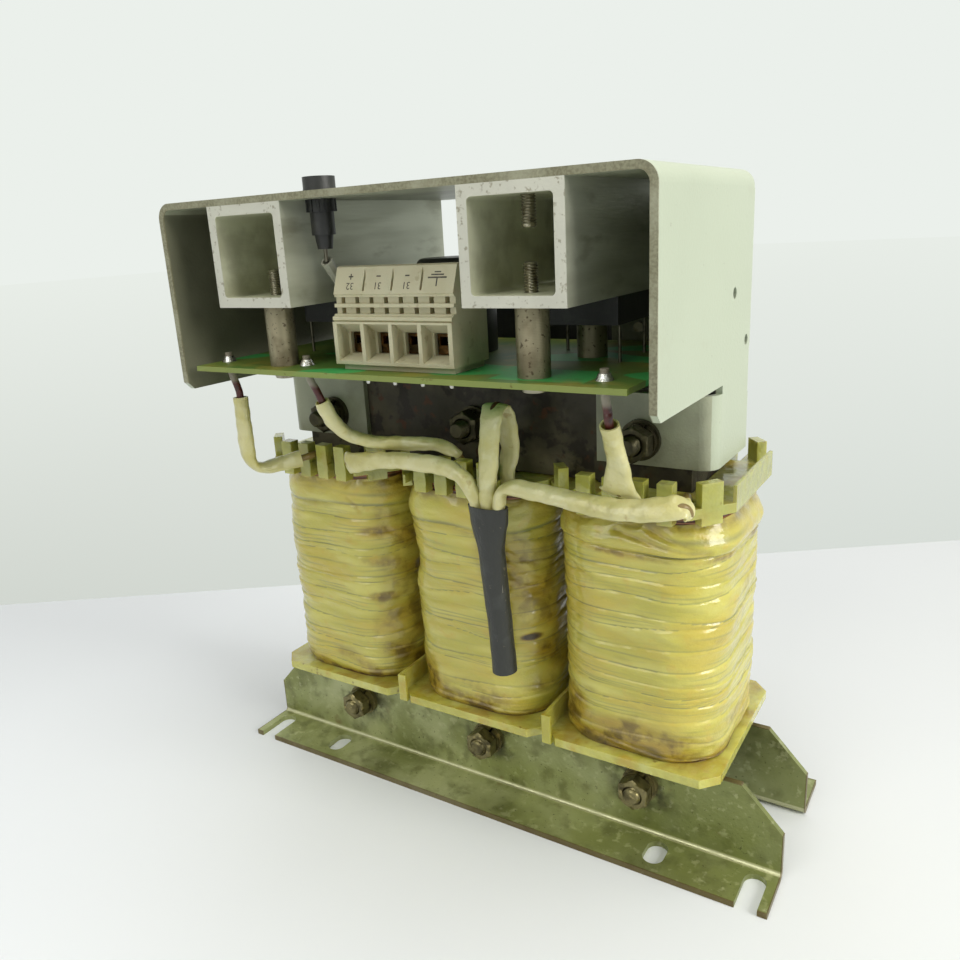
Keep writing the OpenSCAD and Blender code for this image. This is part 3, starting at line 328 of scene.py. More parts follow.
sky.links.new(sky_mix.outputs[0], sky.nodes["World Output"].inputs["Surface"])


def lamp(name, place, aim, size, power):
    """A square softbox of that size in metres, which stands at place and faces aim."""
    data = bpy.data.lights.new(name, "AREA")
    data.size = size
    data.energy = power
    data.color = tone(255, 252, 246)[:3]
    softbox = add(name, data)
    softbox.location = place
    softbox.rotation_euler = (Vector(aim) - Vector(place)).to_track_quat("-Z", "Y").to_euler()


lamp("lamp_right", (1.25, -0.08, 0.62), (0, 0, 0.12), 0.7, 15.0)
lamp("lamp_front", (-0.2, -1.2, 0.95), (0, 0, 0.1), 0.9, 7.0)
lamp("lamp_above", (0.1, 0.0, 1.5), (0, 0, 0.1), 1.2, 15.0)


# Iron core. Thin silicon steel sheets are stacked front to back: E shapes give the legs and the
# lower yoke, straight strips the upper yoke. The varnish that held them has gone dark and oily.
core_finish = Finish("lamination_steel", (50, 46, 34), 0.42, Metallic=0.45)
core_finish.mottle(20, 0.42, 0.7, (78, 72, 54), detail=8, seed=3)
core_finish.mottle(34, 0.5, 0.66, (112, 106, 82), 0.8, seed=6)
core_finish.mottle(6, 0.5, 0.6, (34, 28, 20), 0.9, detail=7, seed=5)
core_finish.mottle(5, 0.62, 0.7, (74, 44, 24), 0.8, detail=8, seed=9)
core_finish.polish(core_finish.clouds(12, 0.4, 0.7, seed=12), 0.62)
core_finish.relief(core_finish.lines("Y", 0.5, 0.2, 0.5), 0.12)
core_finish.grain(2.5, 0.3, 0.8, 0.08, detail=6, seed=2)
core_finish.dress("core_e_laminations", "core_yoke_laminations")


# Bobbins. Each leg carries one moulded nylon bobbin with a tube, a lower flange with a wall toward
# its neighbour and an upper flange with a comb of teeth; varnish has turned it yellow-green.
bobbin_finish = Finish(
    "bobbin_nylon", (196, 194, 98), 0.26, Coat_Weight=0.7, Coat_Roughness=0.08,
    Subsurface_Weight=0.4, Subsurface_Scale=0.003, Subsurface_Radius=(1.0, 0.85, 0.35),
)
bobbin_finish.rounded(0.5)
bobbin_finish.mottle(18, 0.38, 0.7, (178, 172, 62), 0.9, seed=4)
bobbin_finish.mottle(9, 0.5, 0.72, (206, 208, 136), 0.6, detail=5, seed=14)
bobbin_finish.mottle(10, 0.54, 0.74, (186, 150, 48), 0.5, detail=6, seed=8)
# Painted shade: the upper flange and its teeth, under the hood's roof, are darker and greener.
bobbin_finish.paint(bobbin_finish.along("Z", 116, 124), (142, 146, 64), 0.6)
varnish_pool = bobbin_finish.both(
    bobbin_finish.facing("Z", 0.4, 0.9), bobbin_finish.clouds(11, 0.42, 0.66, detail=6, seed=21)
)
bobbin_finish.paint(varnish_pool, (152, 116, 36), 0.55)
bobbin_finish.mottle(4, 0.66, 0.76, (96, 62, 22), 0.6, detail=6, seed=25)
bobbin_finish.grain(6, 0.3, 0.7, 0.35, detail=3, seed=6)
bobbin_finish.dress("bobbin_left", "bobbin_middle", "bobbin_right")


# Windings. Enamelled copper lies in tight layers, with a sheet of polyester film between primary
# and secondary; only a dark strip shows between the teeth and the tape.
winding_finish = Finish("enamelled_wire", (92, 52, 24), 0.35, Coat_Weight=0.4, Coat_Roughness=0.2)
winding_finish.paint(winding_finish.lines("Z", 1.3, 0.35, 0.6), (150, 92, 44))
winding_finish.mottle(5, 0.5, 0.7, (48, 30, 16), 0.8, detail=6)
winding_finish.relief(winding_finish.lines("Z", 1.3, 0.1, 0.9), 0.5)
winding_finish.dress("primary_windings", "secondary_windings")
film_finish = Finish("insulation_film", (196, 178, 120), 0.25, Coat_Weight=0.5)
film_finish.mottle(10, 0.5, 0.7, (150, 116, 60), detail=5)
film_finish.grain(8, 0.3, 0.7, 0.1).dress("interlayer_insulation")


# Tape wraps. Fabric tape is wound round each coil, every turn lapping over the last, and dipped in
# varnish. It dries glossy, with puckers at the corners, dark laps and brown runs of varnish; brown
# painted shade is laid into its creases, under the fold and on the sides between the coils.
def skin(name, parts, finish, replaced=(), values=(), crease=50, smooth=True):
    """Joins arrays of rings of points, rows x sides x 3 in millimetres, into closed skins. Each
    part is (rings, loop): loop joins the last ring to the first, else both ends get a face."""
    points, faces, start = [], [], 0
    for rings, loop in parts:
        rows, sides = rings.shape[:2]
        here = start + np.arange(rows * sides).reshape(rows, sides)
        ahead = np.roll(here, -1, axis=0) if loop else here[1:]
        first = here if loop else here[:-1]
        quads = np.stack([first, np.roll(first, -1, 1), np.roll(ahead, -1, 1), ahead], -1)
        faces += quads.reshape(-1, 4).tolist()
        if not loop:
            faces += [here[0][::-1].tolist(), here[-1].tolist()]
        points.append(rings.reshape(-1, 3))
        start += rows * sides
    mesh = bpy.data.meshes.new(name)
    mesh.from_pydata(np.concatenate(points) / 1000, [], faces)
    for key, value in values:
        layer = mesh.attributes.new(key, "FLOAT", "POINT")
        layer.data.foreach_set("value", value.astype("f").ravel())
    form = bmesh.new()
    form.from_mesh(mesh)
    bmesh.ops.recalc_face_normals(form, faces=form.faces)
    form.to_mesh(mesh)
    form.free()
    mesh.polygons.foreach_set("use_smooth", [smooth] * len(mesh.polygons))
    mesh.set_sharp_from_angle(angle=np.radians(crease))
    mesh.materials.append(finish.material)
    piece = add(name, mesh)
    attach(piece, "root")
    if replaced:
        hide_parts(*replaced)


def rounded_outline(half_x, half_y, radius, count):
    """Points at even steps round a rectangle with round corners, and the outward direction at each:
    four quarter circles joined by straights, resampled by the length run so far."""
    quarter = np.radians(np.linspace(0, 90, 40))
    angle = np.concatenate([quarter + np.pi / 2 * k for k in range(4)])
    centre_x = np.repeat([1, -1, -1, 1], 40) * (half_x - radius)
    centre_y = np.repeat([1, 1, -1, -1], 40) * (half_y - radius)
    x = centre_x + radius * np.cos(angle)
    y = centre_y + radius * np.sin(angle)
    x, y, angle = np.append(x, x[0]), np.append(y, y[0]), np.append(angle, 2 * np.pi)
    run = np.concatenate([[0], np.cumsum(np.hypot(np.diff(x), np.diff(y)))])
    step = np.linspace(0, run[-1], count, endpoint=False)
    x, y, angle = (np.interp(step, run, v) for v in (x, y, angle))
    return x, y, np.cos(angle), np.sin(angle)


def ripple(turn, height, reach, tallest, draw, terms=26):
    """A smooth field over the coil's side: a sum of cosines whose waves go a whole number of times
    round the coil, from the random draw, scaled to about -1 to 1."""
    round_waves = draw.integers(-reach, reach + 1, terms)
    tall_waves = draw.uniform(-tallest, tallest, terms)
    phase = draw.uniform(0, 2 * np.pi, terms)
    weight = draw.uniform(0.3, 1, terms)
    field = np.zeros(np.broadcast(turn, height).shape)
    for m, n, p, w in zip(round_waves, tall_waves, phase, weight):
        field += w * np.cos(2 * np.pi * (m * turn + n * height) + p)
    return field / np.sqrt(terms) * 1.2


wrap_low, wrap_high = 39.3, 118.6
wrap_half_x, wrap_half_y, wrap_round, tape_wall = 27.3, 29.5, 17.9, 0.7
leg_pitch = 60.0


def tape_wrap(name, centre, seed, bulge, marks, creases):
    """One taped coil. Round the outline and up the coil, the surface stands out by a saw tooth for
    each lap of tape, whose edges wander, plus puckers and dents; a thin wall closes it behind.
    bulge adds to the fold under the crown; marks are spots on the front side, each (x, z, half
    width, half height, weight), and creases are dents along lines, each (x, z, x, z, depth)."""
    draw = np.random.default_rng(seed)
    columns, rows, laps = 300, 260, 15
    x, y, out_x, out_y = rounded_outline(wrap_half_x, wrap_half_y, wrap_round, columns)
    turn = np.arange(columns)[None, :] / columns
    height = np.linspace(0, 1, rows)[:, None]
    span = wrap_high - wrap_low
    lap_edge = 0.94 * (np.arange(laps + 1)[:, None] - 0.5) / (laps - 0.5)
    lap_edge = lap_edge + draw.normal(0, 0.012, (laps + 1, 1))
    for waves in (1, 2, 3, 5):
        size = 0.016 / waves**0.7
        phase = draw.uniform(0, 2 * np.pi, (laps + 1, 1))
        lap_edge = lap_edge + size * draw.uniform(0.4, 1, (laps + 1, 1)) * np.cos(
            2 * np.pi * waves * turn + phase
        )
    lap_edge = np.sort(lap_edge, axis=0)
    lap_edge[-1] = 1.1
    lap = np.clip((height[None] >= lap_edge[:, None, :]).sum(0) - 1, 0, laps - 1)
    low = np.take_along_axis(lap_edge, lap, axis=0)
    high = np.take_along_axis(lap_edge, lap + 1, axis=0)
    rise_in_lap = np.clip((height - low) / (high - low), 0, 1)
    lap_height = 0.26 * np.clip(rise_in_lap / 0.3, 0, 1) + 0.26 * rise_in_lap**2
    lap_height -= 0.44 * np.clip((rise_in_lap - 0.88) / 0.12, 0, 1)
    second = np.abs(rise_in_lap - 0.3 - 0.08 * ripple(turn, height, 4, 6, draw))
    third = np.abs(rise_in_lap - 0.55 - 0.1 * ripple(turn, height, 3, 5, draw))
    fine = np.maximum(np.clip(1 - second / 0.07, 0, 1), np.clip(1 - third / 0.06, 0, 1))
    lap_height -= 0.05 * fine
    pucker = ripple(turn, height, 26, 22, draw, 60)
    dents = ripple(turn, height, 7, 7, draw)
    slack = ripple(turn, height, 3, 2.5, draw)
    offset = -0.45 + lap_height + 0.13 * pucker + 0.36 * dents + 0.55 * slack
    belly = np.sin(np.pi * height)
    offset += 0.35 * belly
    under_crown = np.exp(-(((height - 0.905) / 0.055) ** 2))
    fold = np.clip((height - lap_edge[-2]) / 0.016, 0, 1) * under_crown
    offset += 0.5 * under_crown
    offset += bulge * np.clip(0.6 - out_y * 0.3 + out_x * 0.3, 0, 1) * fold
    brim = np.clip((height - 0.955) / 0.045, 0, 1)
    foot = np.clip((0.03 - height) / 0.03, 0, 1)
    offset = offset - 0.9 * brim**2 + 0.5 * brim * ripple(turn, height, 22, 3, draw) - 0.8 * foot**2
    edge_wave = ripple(turn, height, 14, 1, draw)
    level = wrap_low + span * height + 0.9 * edge_wave * brim + 0.3 * edge_wave * foot
    crease = np.zeros_like(offset)
    for x0, z0, x1, z1, depth in creases:
        run = ((x - x0) * (x1 - x0) + (level - z0) * (z1 - z0)) / ((x1 - x0) ** 2 + (z1 - z0) ** 2)
        run = np.clip(run, 0, 1)
        away = np.hypot(x - x0 - run * (x1 - x0), level - z0 - run * (z1 - z0))
        crease += depth * np.exp(-((away / 0.8) ** 2)) * (out_y < 0)
    offset = np.maximum(offset - crease, -0.7)
    front = np.stack([centre + x + out_x * offset, y + out_y * offset, level], -1)
    tuck = np.array([-0.3, -1.0, -1.0, -0.3])[:, None] * tape_wall
    tuck_level = np.array([1.0, 0.98, 0.02, 0.0])[:, None] * span + wrap_low
    behind_offset = np.concatenate([offset[-1:], offset[-1:], offset[:1], offset[:1]]) + tuck
    behind_level = tuck_level + np.zeros_like(behind_offset)
    behind = np.stack(
        [centre + x + out_x * behind_offset, y + out_y * behind_offset, behind_level], -1
    )
    groove = np.clip(1.3 - np.abs(rise_in_lap - 0.02) / 0.05, 0, 1)
    groove = groove * np.clip(0.75 + 0.6 * ripple(turn, height, 5, 9, draw), 0, 1)
    faint = fine * np.clip(0.35 + ripple(turn, height, 6, 9, draw), 0, 1)
    groove = np.maximum(groove, 0.75 * faint)
    # The tape is browned: the blotches and the marks are varnish stains; the top and bottom edges
    # and the lowest sixth are browned too; the brown in the creases, along the lip under the fold
    # and on the sides facing a neighbouring coil is painted shade.
    facing_coil = np.clip((np.abs(out_x) - 0.55) / 0.4, 0, 1) * (out_x * centre <= 0)
    blotch = ripple(turn, height, 9, 9, draw)
    stain_and_shade = np.clip(0.4 * blotch - 0.5, 0, 1) + 0.6 * brim + 0.75 * np.clip(foot * 1.2, 0, 1)
    stain_and_shade = stain_and_shade + facing_coil * np.clip(0.3 + 0.45 * blotch, 0, 1) + 0.5 * crease
    lip = np.clip(1.3 - np.abs(height - lap_edge[-2] + 0.01) / 0.014, 0, 1)
    stain_and_shade += lip * np.clip(0.35 * bulge, 0, 1) * np.clip(0.6 + 0.6 * blotch, 0, 1)
    stain_and_shade += np.clip(0.9 * blotch + 0.4, 0, 1) * np.clip((0.16 - height) / 0.16, 0, 1)
    for mark_x, mark_z, half_x, half_z, weight in marks:
        spread = ((x - mark_x) / half_x) ** 2 + ((level - mark_z) / half_z) ** 2
        stain_and_shade += weight * np.exp(-(spread**2)) * (out_y < 0)
    stain_and_shade += 0.22 * groove * np.clip(0.3 + ripple(turn, height, 11, 6, draw), 0, 1)
    # The darkest, burnt tone goes where these add up past 1.3: the marked burn spot, the very
    # bottom of the wrap, and wherever brown and painted shade pile up.
    burn = np.clip(stain_and_shade - 1.3, 0, 1)
    pale = np.clip(0.35 + 0.5 * ripple(turn, height, 8, 16, draw), 0, 1)
    values = [
        (key, np.concatenate([value, np.repeat(value[-1:], 2, 0), np.repeat(value[:1], 2, 0)]))
        for key, value in (
            ("groove", groove),
            ("stain_and_shade", np.clip(stain_and_shade, 0, 1)),
            ("burn", burn),
            ("pale", pale),
        )
    ]
    rings = np.concatenate([front, behind])
    skin(name, [(rings, True)], tape_finish, [name], values, crease=75)


tape_finish = Finish(
    "varnished_tape", (188, 181, 72), 0.3, Coat_Weight=0.7, Coat_Roughness=0.1,
    Subsurface_Weight=0.12, Subsurface_Scale=0.002, Subsurface_Radius=(1.0, 0.85, 0.35),
)
tape_finish.paint(tape_finish.drawn("pale"), (210, 204, 106), 0.85)
tape_finish.mottle(22, 0.42, 0.7, (196, 176, 66), 0.75, detail=5, stretch=(1, 1, 0.4), seed=2)
tape_finish.mottle(5, 0.56, 0.72, (200, 166, 62), 0.35, detail=6, seed=9)
tape_finish.paint(tape_finish.drawn("groove"), (126, 134, 84), 0.85)
# The browning, with darker clouds in it, is varnish stain together with painted shade.
tape_finish.paint(tape_finish.drawn("stain_and_shade"), (160, 128, 28), 0.8)
dark_stain_and_shade = tape_finish.both(
    tape_finish.drawn("stain_and_shade"), tape_finish.clouds(5, 0.42, 0.62, seed=7)
)
tape_finish.paint(dark_stain_and_shade, (88, 66, 12), 0.85)
tape_finish.paint(tape_finish.drawn("burn"), (46, 32, 22), 0.95)
tape_finish.polish(tape_finish.clouds(7, 0.45, 0.7, seed=7), 0.55)
tape_finish.grain(3, 0.25, 0.75, 0.14, detail=5, stretch=(1, 1, 0.5), seed=3)
tape_finish.grain(0.6, 0.3, 0.7, 0.02, detail=2, seed=5)
for name, centre, seed, bulge, marks, creases in (
    (
        "coil_wrap_left",
        -leg_pitch,
        11,
        0.5,
        [(20, 99, 5, 2, 0.6), (21, 73, 5, 2, 0.7), (-25, 96, 2, 3, 0.8), (22, 58, 5, 12, 0.4)],
        [(12, 112, 16, 107, 0.5), (19, 100, 21, 97, 0.3), (23, 100, 25, 97, 0.3),
         (19, 74, 21, 71, 0.3), (23, 74, 25, 71, 0.3)],
    ),
    (
        "coil_wrap_middle",
        0.0,
        23,
        0.6,
        [(22.5, 69.2, 2.3, 1.4, 3.2), (15, 99, 9, 9, 0.6), (20, 84, 8, 9, 0.5),
         (-20, 48, 6, 8, 0.6), (-4, 42, 18, 3, 0.6)],
        [(12, 104, 24, 96, 0.4), (14, 99, 25, 91, 0.4), (15, 93, 25, 86, 0.3),
         (20, 88, 26, 84, 0.3)],
    ),
    (
        "coil_wrap_right",
        leg_pitch,
        37,
        2.2,
        [(-20, 52, 6, 6, 0.9), (0, 47, 18, 4, 0.8), (-6, 42, 24, 2.5, 0.8), (14, 43, 8, 3, 0.6)],
        [(22, 109.5, -4, 115, 0.7), (22, 110.5, 6, 117, 0.5), (16, 108, -22, 112, 0.3),
         (-26, 104, -12, 98, 0.3)],
    ),
):
    tape_wrap(name, centre, seed, bulge, marks, creases)


# Mounting angles. Two bent steel angles carry the core and stand on the bench. Their zinc plating
# has a yellow-green passivation, mottled by age, with rust at the cut edges and the slots.
angle_finish = Finish("passivated_steel", (150, 156, 100), 0.3, Metallic=0.5)
angle_finish.mottle(50, 0.38, 0.66, (186, 190, 146), 0.9, detail=5, seed=2)
# Painted shade: the right half of each angle is darker and greener than the left, whose brighter
# tone stands for the reflection there.
angle_finish.paint(angle_finish.along("X", 0, 90), (118, 126, 74), 0.6)
angle_finish.mottle(18, 0.4, 0.7, (122, 128, 72), 0.7, detail=12, seed=6)
angle_finish.mottle(7, 0.48, 0.7, (96, 98, 56), 0.55, detail=12, seed=13)
angle_finish.mottle(3, 0.55, 0.7, (198, 200, 156), 0.4, detail=9, seed=33)
angle_finish.mottle(1.1, 0.66, 0.72, (60, 58, 34), 0.6, seed=11)
angle_finish.mottle(13, 0.66, 0.74, (116, 84, 44), 0.6, detail=10, seed=17)
grime, lower_bolt_z = 0.0, 20.5
for bolt_x in (-leg_pitch, 0.0, leg_pitch):
    near_bolt = angle_finish.both(
        angle_finish.apart("X", 15, 6, bolt_x), angle_finish.apart("Z", 12, 5, lower_bolt_z)
    )
    grime = angle_finish.sum("MAXIMUM", grime, near_bolt)
grime = angle_finish.both(grime, angle_finish.clouds(7, 0.4, 0.6, detail=8, seed=29))
angle_finish.paint(grime, (54, 52, 34), 0.85)
# Painted highlight: a thin light line along the bend.
bend_highlight = angle_finish.both(
    angle_finish.apart("Y", 19.6, 19.2), angle_finish.along("Z", 3.4, 2.9)
)
angle_finish.paint(bend_highlight, (206, 205, 168), 0.7)
cut_edges = angle_finish.sum(
    "MAXIMUM", angle_finish.apart("Y", 35.7, 36.1), angle_finish.along("Z", 30.5, 30.9)
)
cut_edges = angle_finish.sum("MAXIMUM", cut_edges, angle_finish.apart("X", 106.5, 106.9))
angle_finish.paint(cut_edges, (96, 74, 44), 0.75)
angle_finish.polish(angle_finish.clouds(7, 0.42, 0.66, detail=6, seed=4), 0.52)
angle_finish.grain(1.2, 0.3, 0.7, 0.04, detail=5, seed=9)
angle_finish.dress("foot_angle_front", "foot_angle_rear")


# Clamping hardware. Six M6 bolts pull the stack and the angles or the hood together, each with a
# flat washer, a split spring washer and a nut, all yellow-passivated and gone dull.
clamp_finish = Finish("clamp_steel", (126, 118, 82), 0.32, Metallic=0.8)
clamp_finish.mottle(4, 0.45, 0.7, (70, 64, 42), 0.95, detail=7, seed=3)
clamp_finish.mottle(2.4, 0.6, 0.7, (170, 156, 108), 0.9, detail=7, seed=8)
# Painted shade: the upper hardware, from 110 mm up under the hood, is darker.
clamp_finish.paint(clamp_finish.along("Z", 110, 120), (48, 46, 33), 0.85)
clamp_finish.polish(clamp_finish.clouds(3, 0.4, 0.7, seed=5), 0.5)
clamp_finish.grain(0.8, 0.3, 0.7, 0.03, seed=6)


def turned(profile, sides, thread=None, flats=None):
    """Rings of a part that is turned round its axis: profile holds (place along the axis, radius).
    thread is (from, to, pitch, depth), a groove that winds once per pitch. flats is (from, to,
    width across flats), where the radius is no more than the hexagon's. The axis is Z."""
    profile = np.array(profile, float)
    angle = np.linspace(0, 2 * np.pi, sides, endpoint=False)[None]
    along = profile[:, :1]
    radius = profile[:, 1:] + np.zeros_like(angle)
    if thread:
        low, high, pitch, depth = thread
        phase = (along / pitch - angle / (2 * np.pi)) % 1
        groove = depth * np.abs(2 * phase - 1)
        fade = np.clip((along - low) / pitch, 0, 1) * np.clip((high - along) / (0.5 * pitch), 0, 1)
        radius = radius - groove * fade
    if flats:
        low, high, width = flats
        from_flat = (angle + np.pi / 6) % (np.pi / 3) - np.pi / 6
        hexagon = width / 2 / np.cos(from_flat) + np.zeros_like(radius)
        held = (along >= low - 1e-6) & (along <= high + 1e-6)
        radius = np.where(held, np.minimum(radius, hexagon), radius)
    return np.stack([radius * np.cos(angle), radius * np.sin(angle), along + 0 * radius], -1)


def stations(*ends):
    """Profile points on straight runs between (place, radius) pairs, about step apart."""
    runs, step = [], 0.14
    for (z0, r0), (z1, r1) in zip(ends, ends[1:]):
        count = max(2, int(abs(z1 - z0) / step)) if r0 == r1 else 2
        share = np.linspace(0, 1, count, endpoint=False)
        runs.append(np.stack([z0 + (z1 - z0) * share, r0 + (r1 - r0) * share], -1))
    return np.concatenate(runs + [np.array([ends[-1]])])


def to_rear_axis(rings, x, z, y):
    """Turns a part so that its axis Z points to the front, -Y, and places its origin at x, y, z."""
    return np.stack([rings[..., 0] + x, y - rings[..., 2], rings[..., 1] + z], -1)


bolt_radius, bolt_pitch, nut_width = 3.0, 1.0, 10.0
on_sheet, on_core = -18.25, -16.25
for level, washers_front in (
    ("lower", (on_sheet, on_sheet, on_sheet)),
    ("upper", (on_sheet, on_core, on_sheet)),
):
    low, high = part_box(level + "_clamp_bolts")
    tip_at = {on_sheet: low.y * 1000, on_core: low.y * 1000 + 2}
    head_at = {on_sheet: high.y * 1000, on_core: high.y * 1000 - 2}
    bolt_z = (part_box(level + "_nuts")[0].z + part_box(level + "_nuts")[1].z) * 500
    bolts, nuts = [], []
    for x, face in zip((-leg_pitch, 0.0, leg_pitch), washers_front):
        head, tip = head_at[face], tip_at[face]
        length = head - tip
        shank = turned(
            stations(
                (0, 3.9), (0.35, 5.2), (3.95, 5.77), (4, bolt_radius), (length - 16, bolt_radius),
                (length - 0.7, bolt_radius), (length, 2.2),
            ),
            48,
            thread=(length - 16, length - 0.4, bolt_pitch, 0.55),
            flats=(0, 3.95, nut_width),
        )
        bolts.append((to_rear_axis(shank, x, bolt_z, head), False))
        seat = face - 3.2
        nut = turned(
            [(0, 3.02), (0.05, 4.6), (0.5, 5.77), (4.5, 5.77), (4.95, 4.8), (5, 3.5), (4.6, 3.02)],
            60,
            flats=(0, 5, nut_width),
        )
        nuts.append((to_rear_axis(nut, x, bolt_z, seat), True))
    for node, pieces in ((level + "_clamp_bolts", bolts), (level + "_nuts", nuts)):
        skin(node, pieces, clamp_finish, [node], crease=30)
    clamp_finish.dress(level + "_flat_washers", level + "_spring_washers")


# Hood. One folded steel sheet covers the electronics: roof, side walls and fastening tabs. It is
# powder coated in a pale grey-green; its inner side carries painted shade, darkest on the left
# wall, with darker cloudy blotches over it, and the cut edges are spotted.
hood_finish = Finish("hood_paint", (182, 191, 168), 0.4, Coat_Weight=0.15, Coat_Roughness=0.3)
hood_finish.mottle(70, 0.4, 0.7, (176, 185, 162), 0.8, detail=3, seed=2)
hood_finish.mottle(9, 0.6, 0.75, (178, 184, 160), 0.5, detail=6, seed=15)
hood_finish.mottle(1.2, 0.72, 0.78, (120, 116, 92), 0.6, seed=5)
# Painted shade: the inner side of the roof and walls is darker, the left wall darker still, with
# darker cloudy blotches over the inside.
inner_side = hood_finish.both(
    hood_finish.apart("X", 80.75, 80.65), hood_finish.along("Z", 214.6, 213.9)
)
hood_finish.paint(inner_side, (158, 160, 134), 0.8)
left_side = hood_finish.both(inner_side, hood_finish.along("X", -79.9, -80.1))
hood_finish.paint(left_side, (104, 104, 84), 0.85)
inner_blotches = hood_finish.both(inner_side, hood_finish.clouds(26, 0.36, 0.66, detail=8, seed=19))
hood_finish.paint(inner_blotches, (92, 90, 70), 0.6)
cut_edge = hood_finish.along("Y", -65.4, -65.9)
hood_finish.paint(cut_edge, (136, 134, 106), 0.9)
edge_dirt = hood_finish.both(cut_edge, hood_finish.clouds(0.7, 0.36, 0.66, detail=8, seed=7))
hood_finish.paint(edge_dirt, (104, 98, 72), 0.7)
bare_metal = hood_finish.both(cut_edge, hood_finish.clouds(14, 0.45, 0.7, detail=6, seed=23))
hood_finish.paint(bare_metal, (172, 172, 148), 0.6)
hood_finish.grain(0.9, 0.3, 0.7, 0.03, detail=2, seed=9).dress("hood")


# Heat sink tubes. Two square aluminium tubes hang under the roof and cool the rectifiers below
# them. The ends are saw-cut and bright, the drawn sides are satin.
tube_finish = Finish("tube_aluminium", (200, 203, 184), 0.36, Metallic=0.35)
drawn_marks = tube_finish.clouds(16, 0.4, 0.7, detail=6, stretch=(1, 6, 1), seed=3)
tube_finish.paint(drawn_marks, (166, 168, 148))
smudges = tube_finish.clouds(7, 0.56, 0.7, detail=7, stretch=(1, 3, 1), seed=33)
tube_finish.paint(smudges, (132, 130, 106), 0.5)
tube_x, tube_z = 45.0, 199.0
# Painted light: the bore of each tube, behind its sawn end, is painted lighter than the outside.
inside, inside_left = (
    tube_finish.both(
        tube_finish.apart("X", 12.6, 12.2, x), tube_finish.apart("Z", 12.6, 12.2, tube_z)
    )
    for x in (tube_x, -tube_x)
)
inside = tube_finish.sum("MAXIMUM", inside, inside_left)
inside = tube_finish.both(inside, tube_finish.along("Y", -65.98, -65.9))
tube_finish.paint(inside, (216, 218, 190), 0.9)
smear = tube_finish.both(inside, tube_finish.clouds(12, 0.45, 0.65, detail=7, seed=12))
tube_finish.paint(smear, (168, 168, 140), 0.6)
sawn = tube_finish.along("Y", -65.8, -65.95)
tube_finish.paint(sawn, (206, 205, 192), 0.85)
scuff = tube_finish.both(sawn, tube_finish.clouds(1.4, 0.58, 0.7, detail=7, seed=8))
tube_finish.paint(scuff, (142, 136, 114), 0.75)
tube_finish.polish(tube_finish.clouds(5, 0.4, 0.7, stretch=(1, 8, 1), seed=5), 0.5)
tube_finish.grain(0.7, 0.3, 0.7, 0.02, detail=3, stretch=(1, 12, 1), seed=6)
tube_finish.dress("heat_sink_tube_left", "heat_sink_tube_right")


# Spacers and tube screws. Turned steel spacers set the board's distance; M4 countersunk screws
# go down through the roof into the tubes, and others go up through the board and the spacers.
spacer_finish = Finish("spacer_steel", (148, 140, 114), 0.34, Metallic=0.6)
spacer_finish.mottle(7, 0.42, 0.66, (110, 100, 76), 0.8, detail=7, seed=3)
spacer_finish.mottle(4, 0.58, 0.7, (176, 170, 142), 0.6, detail=6, stretch=(1, 1, 6), seed=13)
spacer_finish.mottle(1.2, 0.6, 0.68, (66, 52, 34), 0.8, detail=5, seed=23)
spacer_finish.relief(spacer_finish.lines("Z", 0.4, 0.2, 0.8, wander=1.0), 0.03)
spacer_finish.dress("front_spacers", "rectifier_spacers")
screw_finish = Finish("screw_steel", (150, 146, 128), 0.3, Metallic=0.9)
screw_finish.mottle(2.5, 0.5, 0.7, (92, 84, 62), 0.8, detail=6, seed=3)
screw_finish.grain(0.7, 0.3, 0.7, 0.02, detail=3, seed=4)

screw_radius, screw_pitch = 2.0, 0.7
front_row, spacer_row, rear_row = -56.0, -19.25, -2.0
roof_screw_z, board_screw_z = 203.0, 161.0
roof_screws = []
for x, y in ((-tube_x, rear_row), (tube_x, front_row), (tube_x, rear_row)):
    screw = turned(
        stations((0, 1.5), (0.5, screw_radius), (11, screw_radius), (12.9, 3.9)),
        40,
        thread=(0.2, 10.6, screw_pitch, 0.42),
    )
    roof_screws.append((screw + np.array([x, y, roof_screw_z]), False))
skin("hood_screws", roof_screws, screw_finish, ["hood_screws"], crease=30)
board_screws = []
for x in (-tube_x, tube_x):
    for y in (front_row, spacer_row):
        screw = turned(
            stations(
                (0, 1.3), (0.9, 1.3), (0.91, 2.2), (0.1, 2.4), (0.3, 3.2), (2.2, 4.0), (2.6, 4.0),
                (2.61, screw_radius), (8, screw_radius), (33.1, screw_radius), (33.6, 1.5),
            ),
            40,
            thread=(8, 33.4, screw_pitch, 0.42),
        )
        board_screws.append((screw + np.array([x, y, board_screw_z]), False))
skin("board_screws", board_screws, screw_finish, ["board_screws"], crease=30)


# Circuit board. Glass epoxy laminate with a green solder mask; wide copper areas show lighter
# through it, and flux has browned it round the hand-soldered joints.
board_finish = Finish("board_laminate", (104, 120, 52), 0.5, Specular_IOR_Level=0.2)
board_finish.mottle(30, 0.44, 0.62, (78, 112, 50), 0.9, detail=3, seed=3)
copper_area = board_finish.clouds(24, 0.56, 0.575, detail=0, stretch=(1.6, 1, 1), seed=6)
round_right = board_finish.both(
    board_finish.apart("X", 14.0, 13.6, 48.0), board_finish.apart("Y", 9.0, 8.6, -53.0)
)
copper_area = board_finish.sum("MAXIMUM", copper_area, round_right)
board_finish.paint(copper_area, (66, 158, 84))
flux = board_finish.clouds(12, 0.52, 0.68, seed=9)
board_finish.paint(flux, (140, 132, 58), 0.7)
board_finish.paint(board_finish.along("Y", -65.7, -65.9), (136, 148, 84), 0.9)
board_finish.mottle(2.4, 0.64, 0.72, (96, 74, 36), 0.6, detail=5, seed=12)
board_finish.relief(copper_area, 0.04).dress("circuit_board")
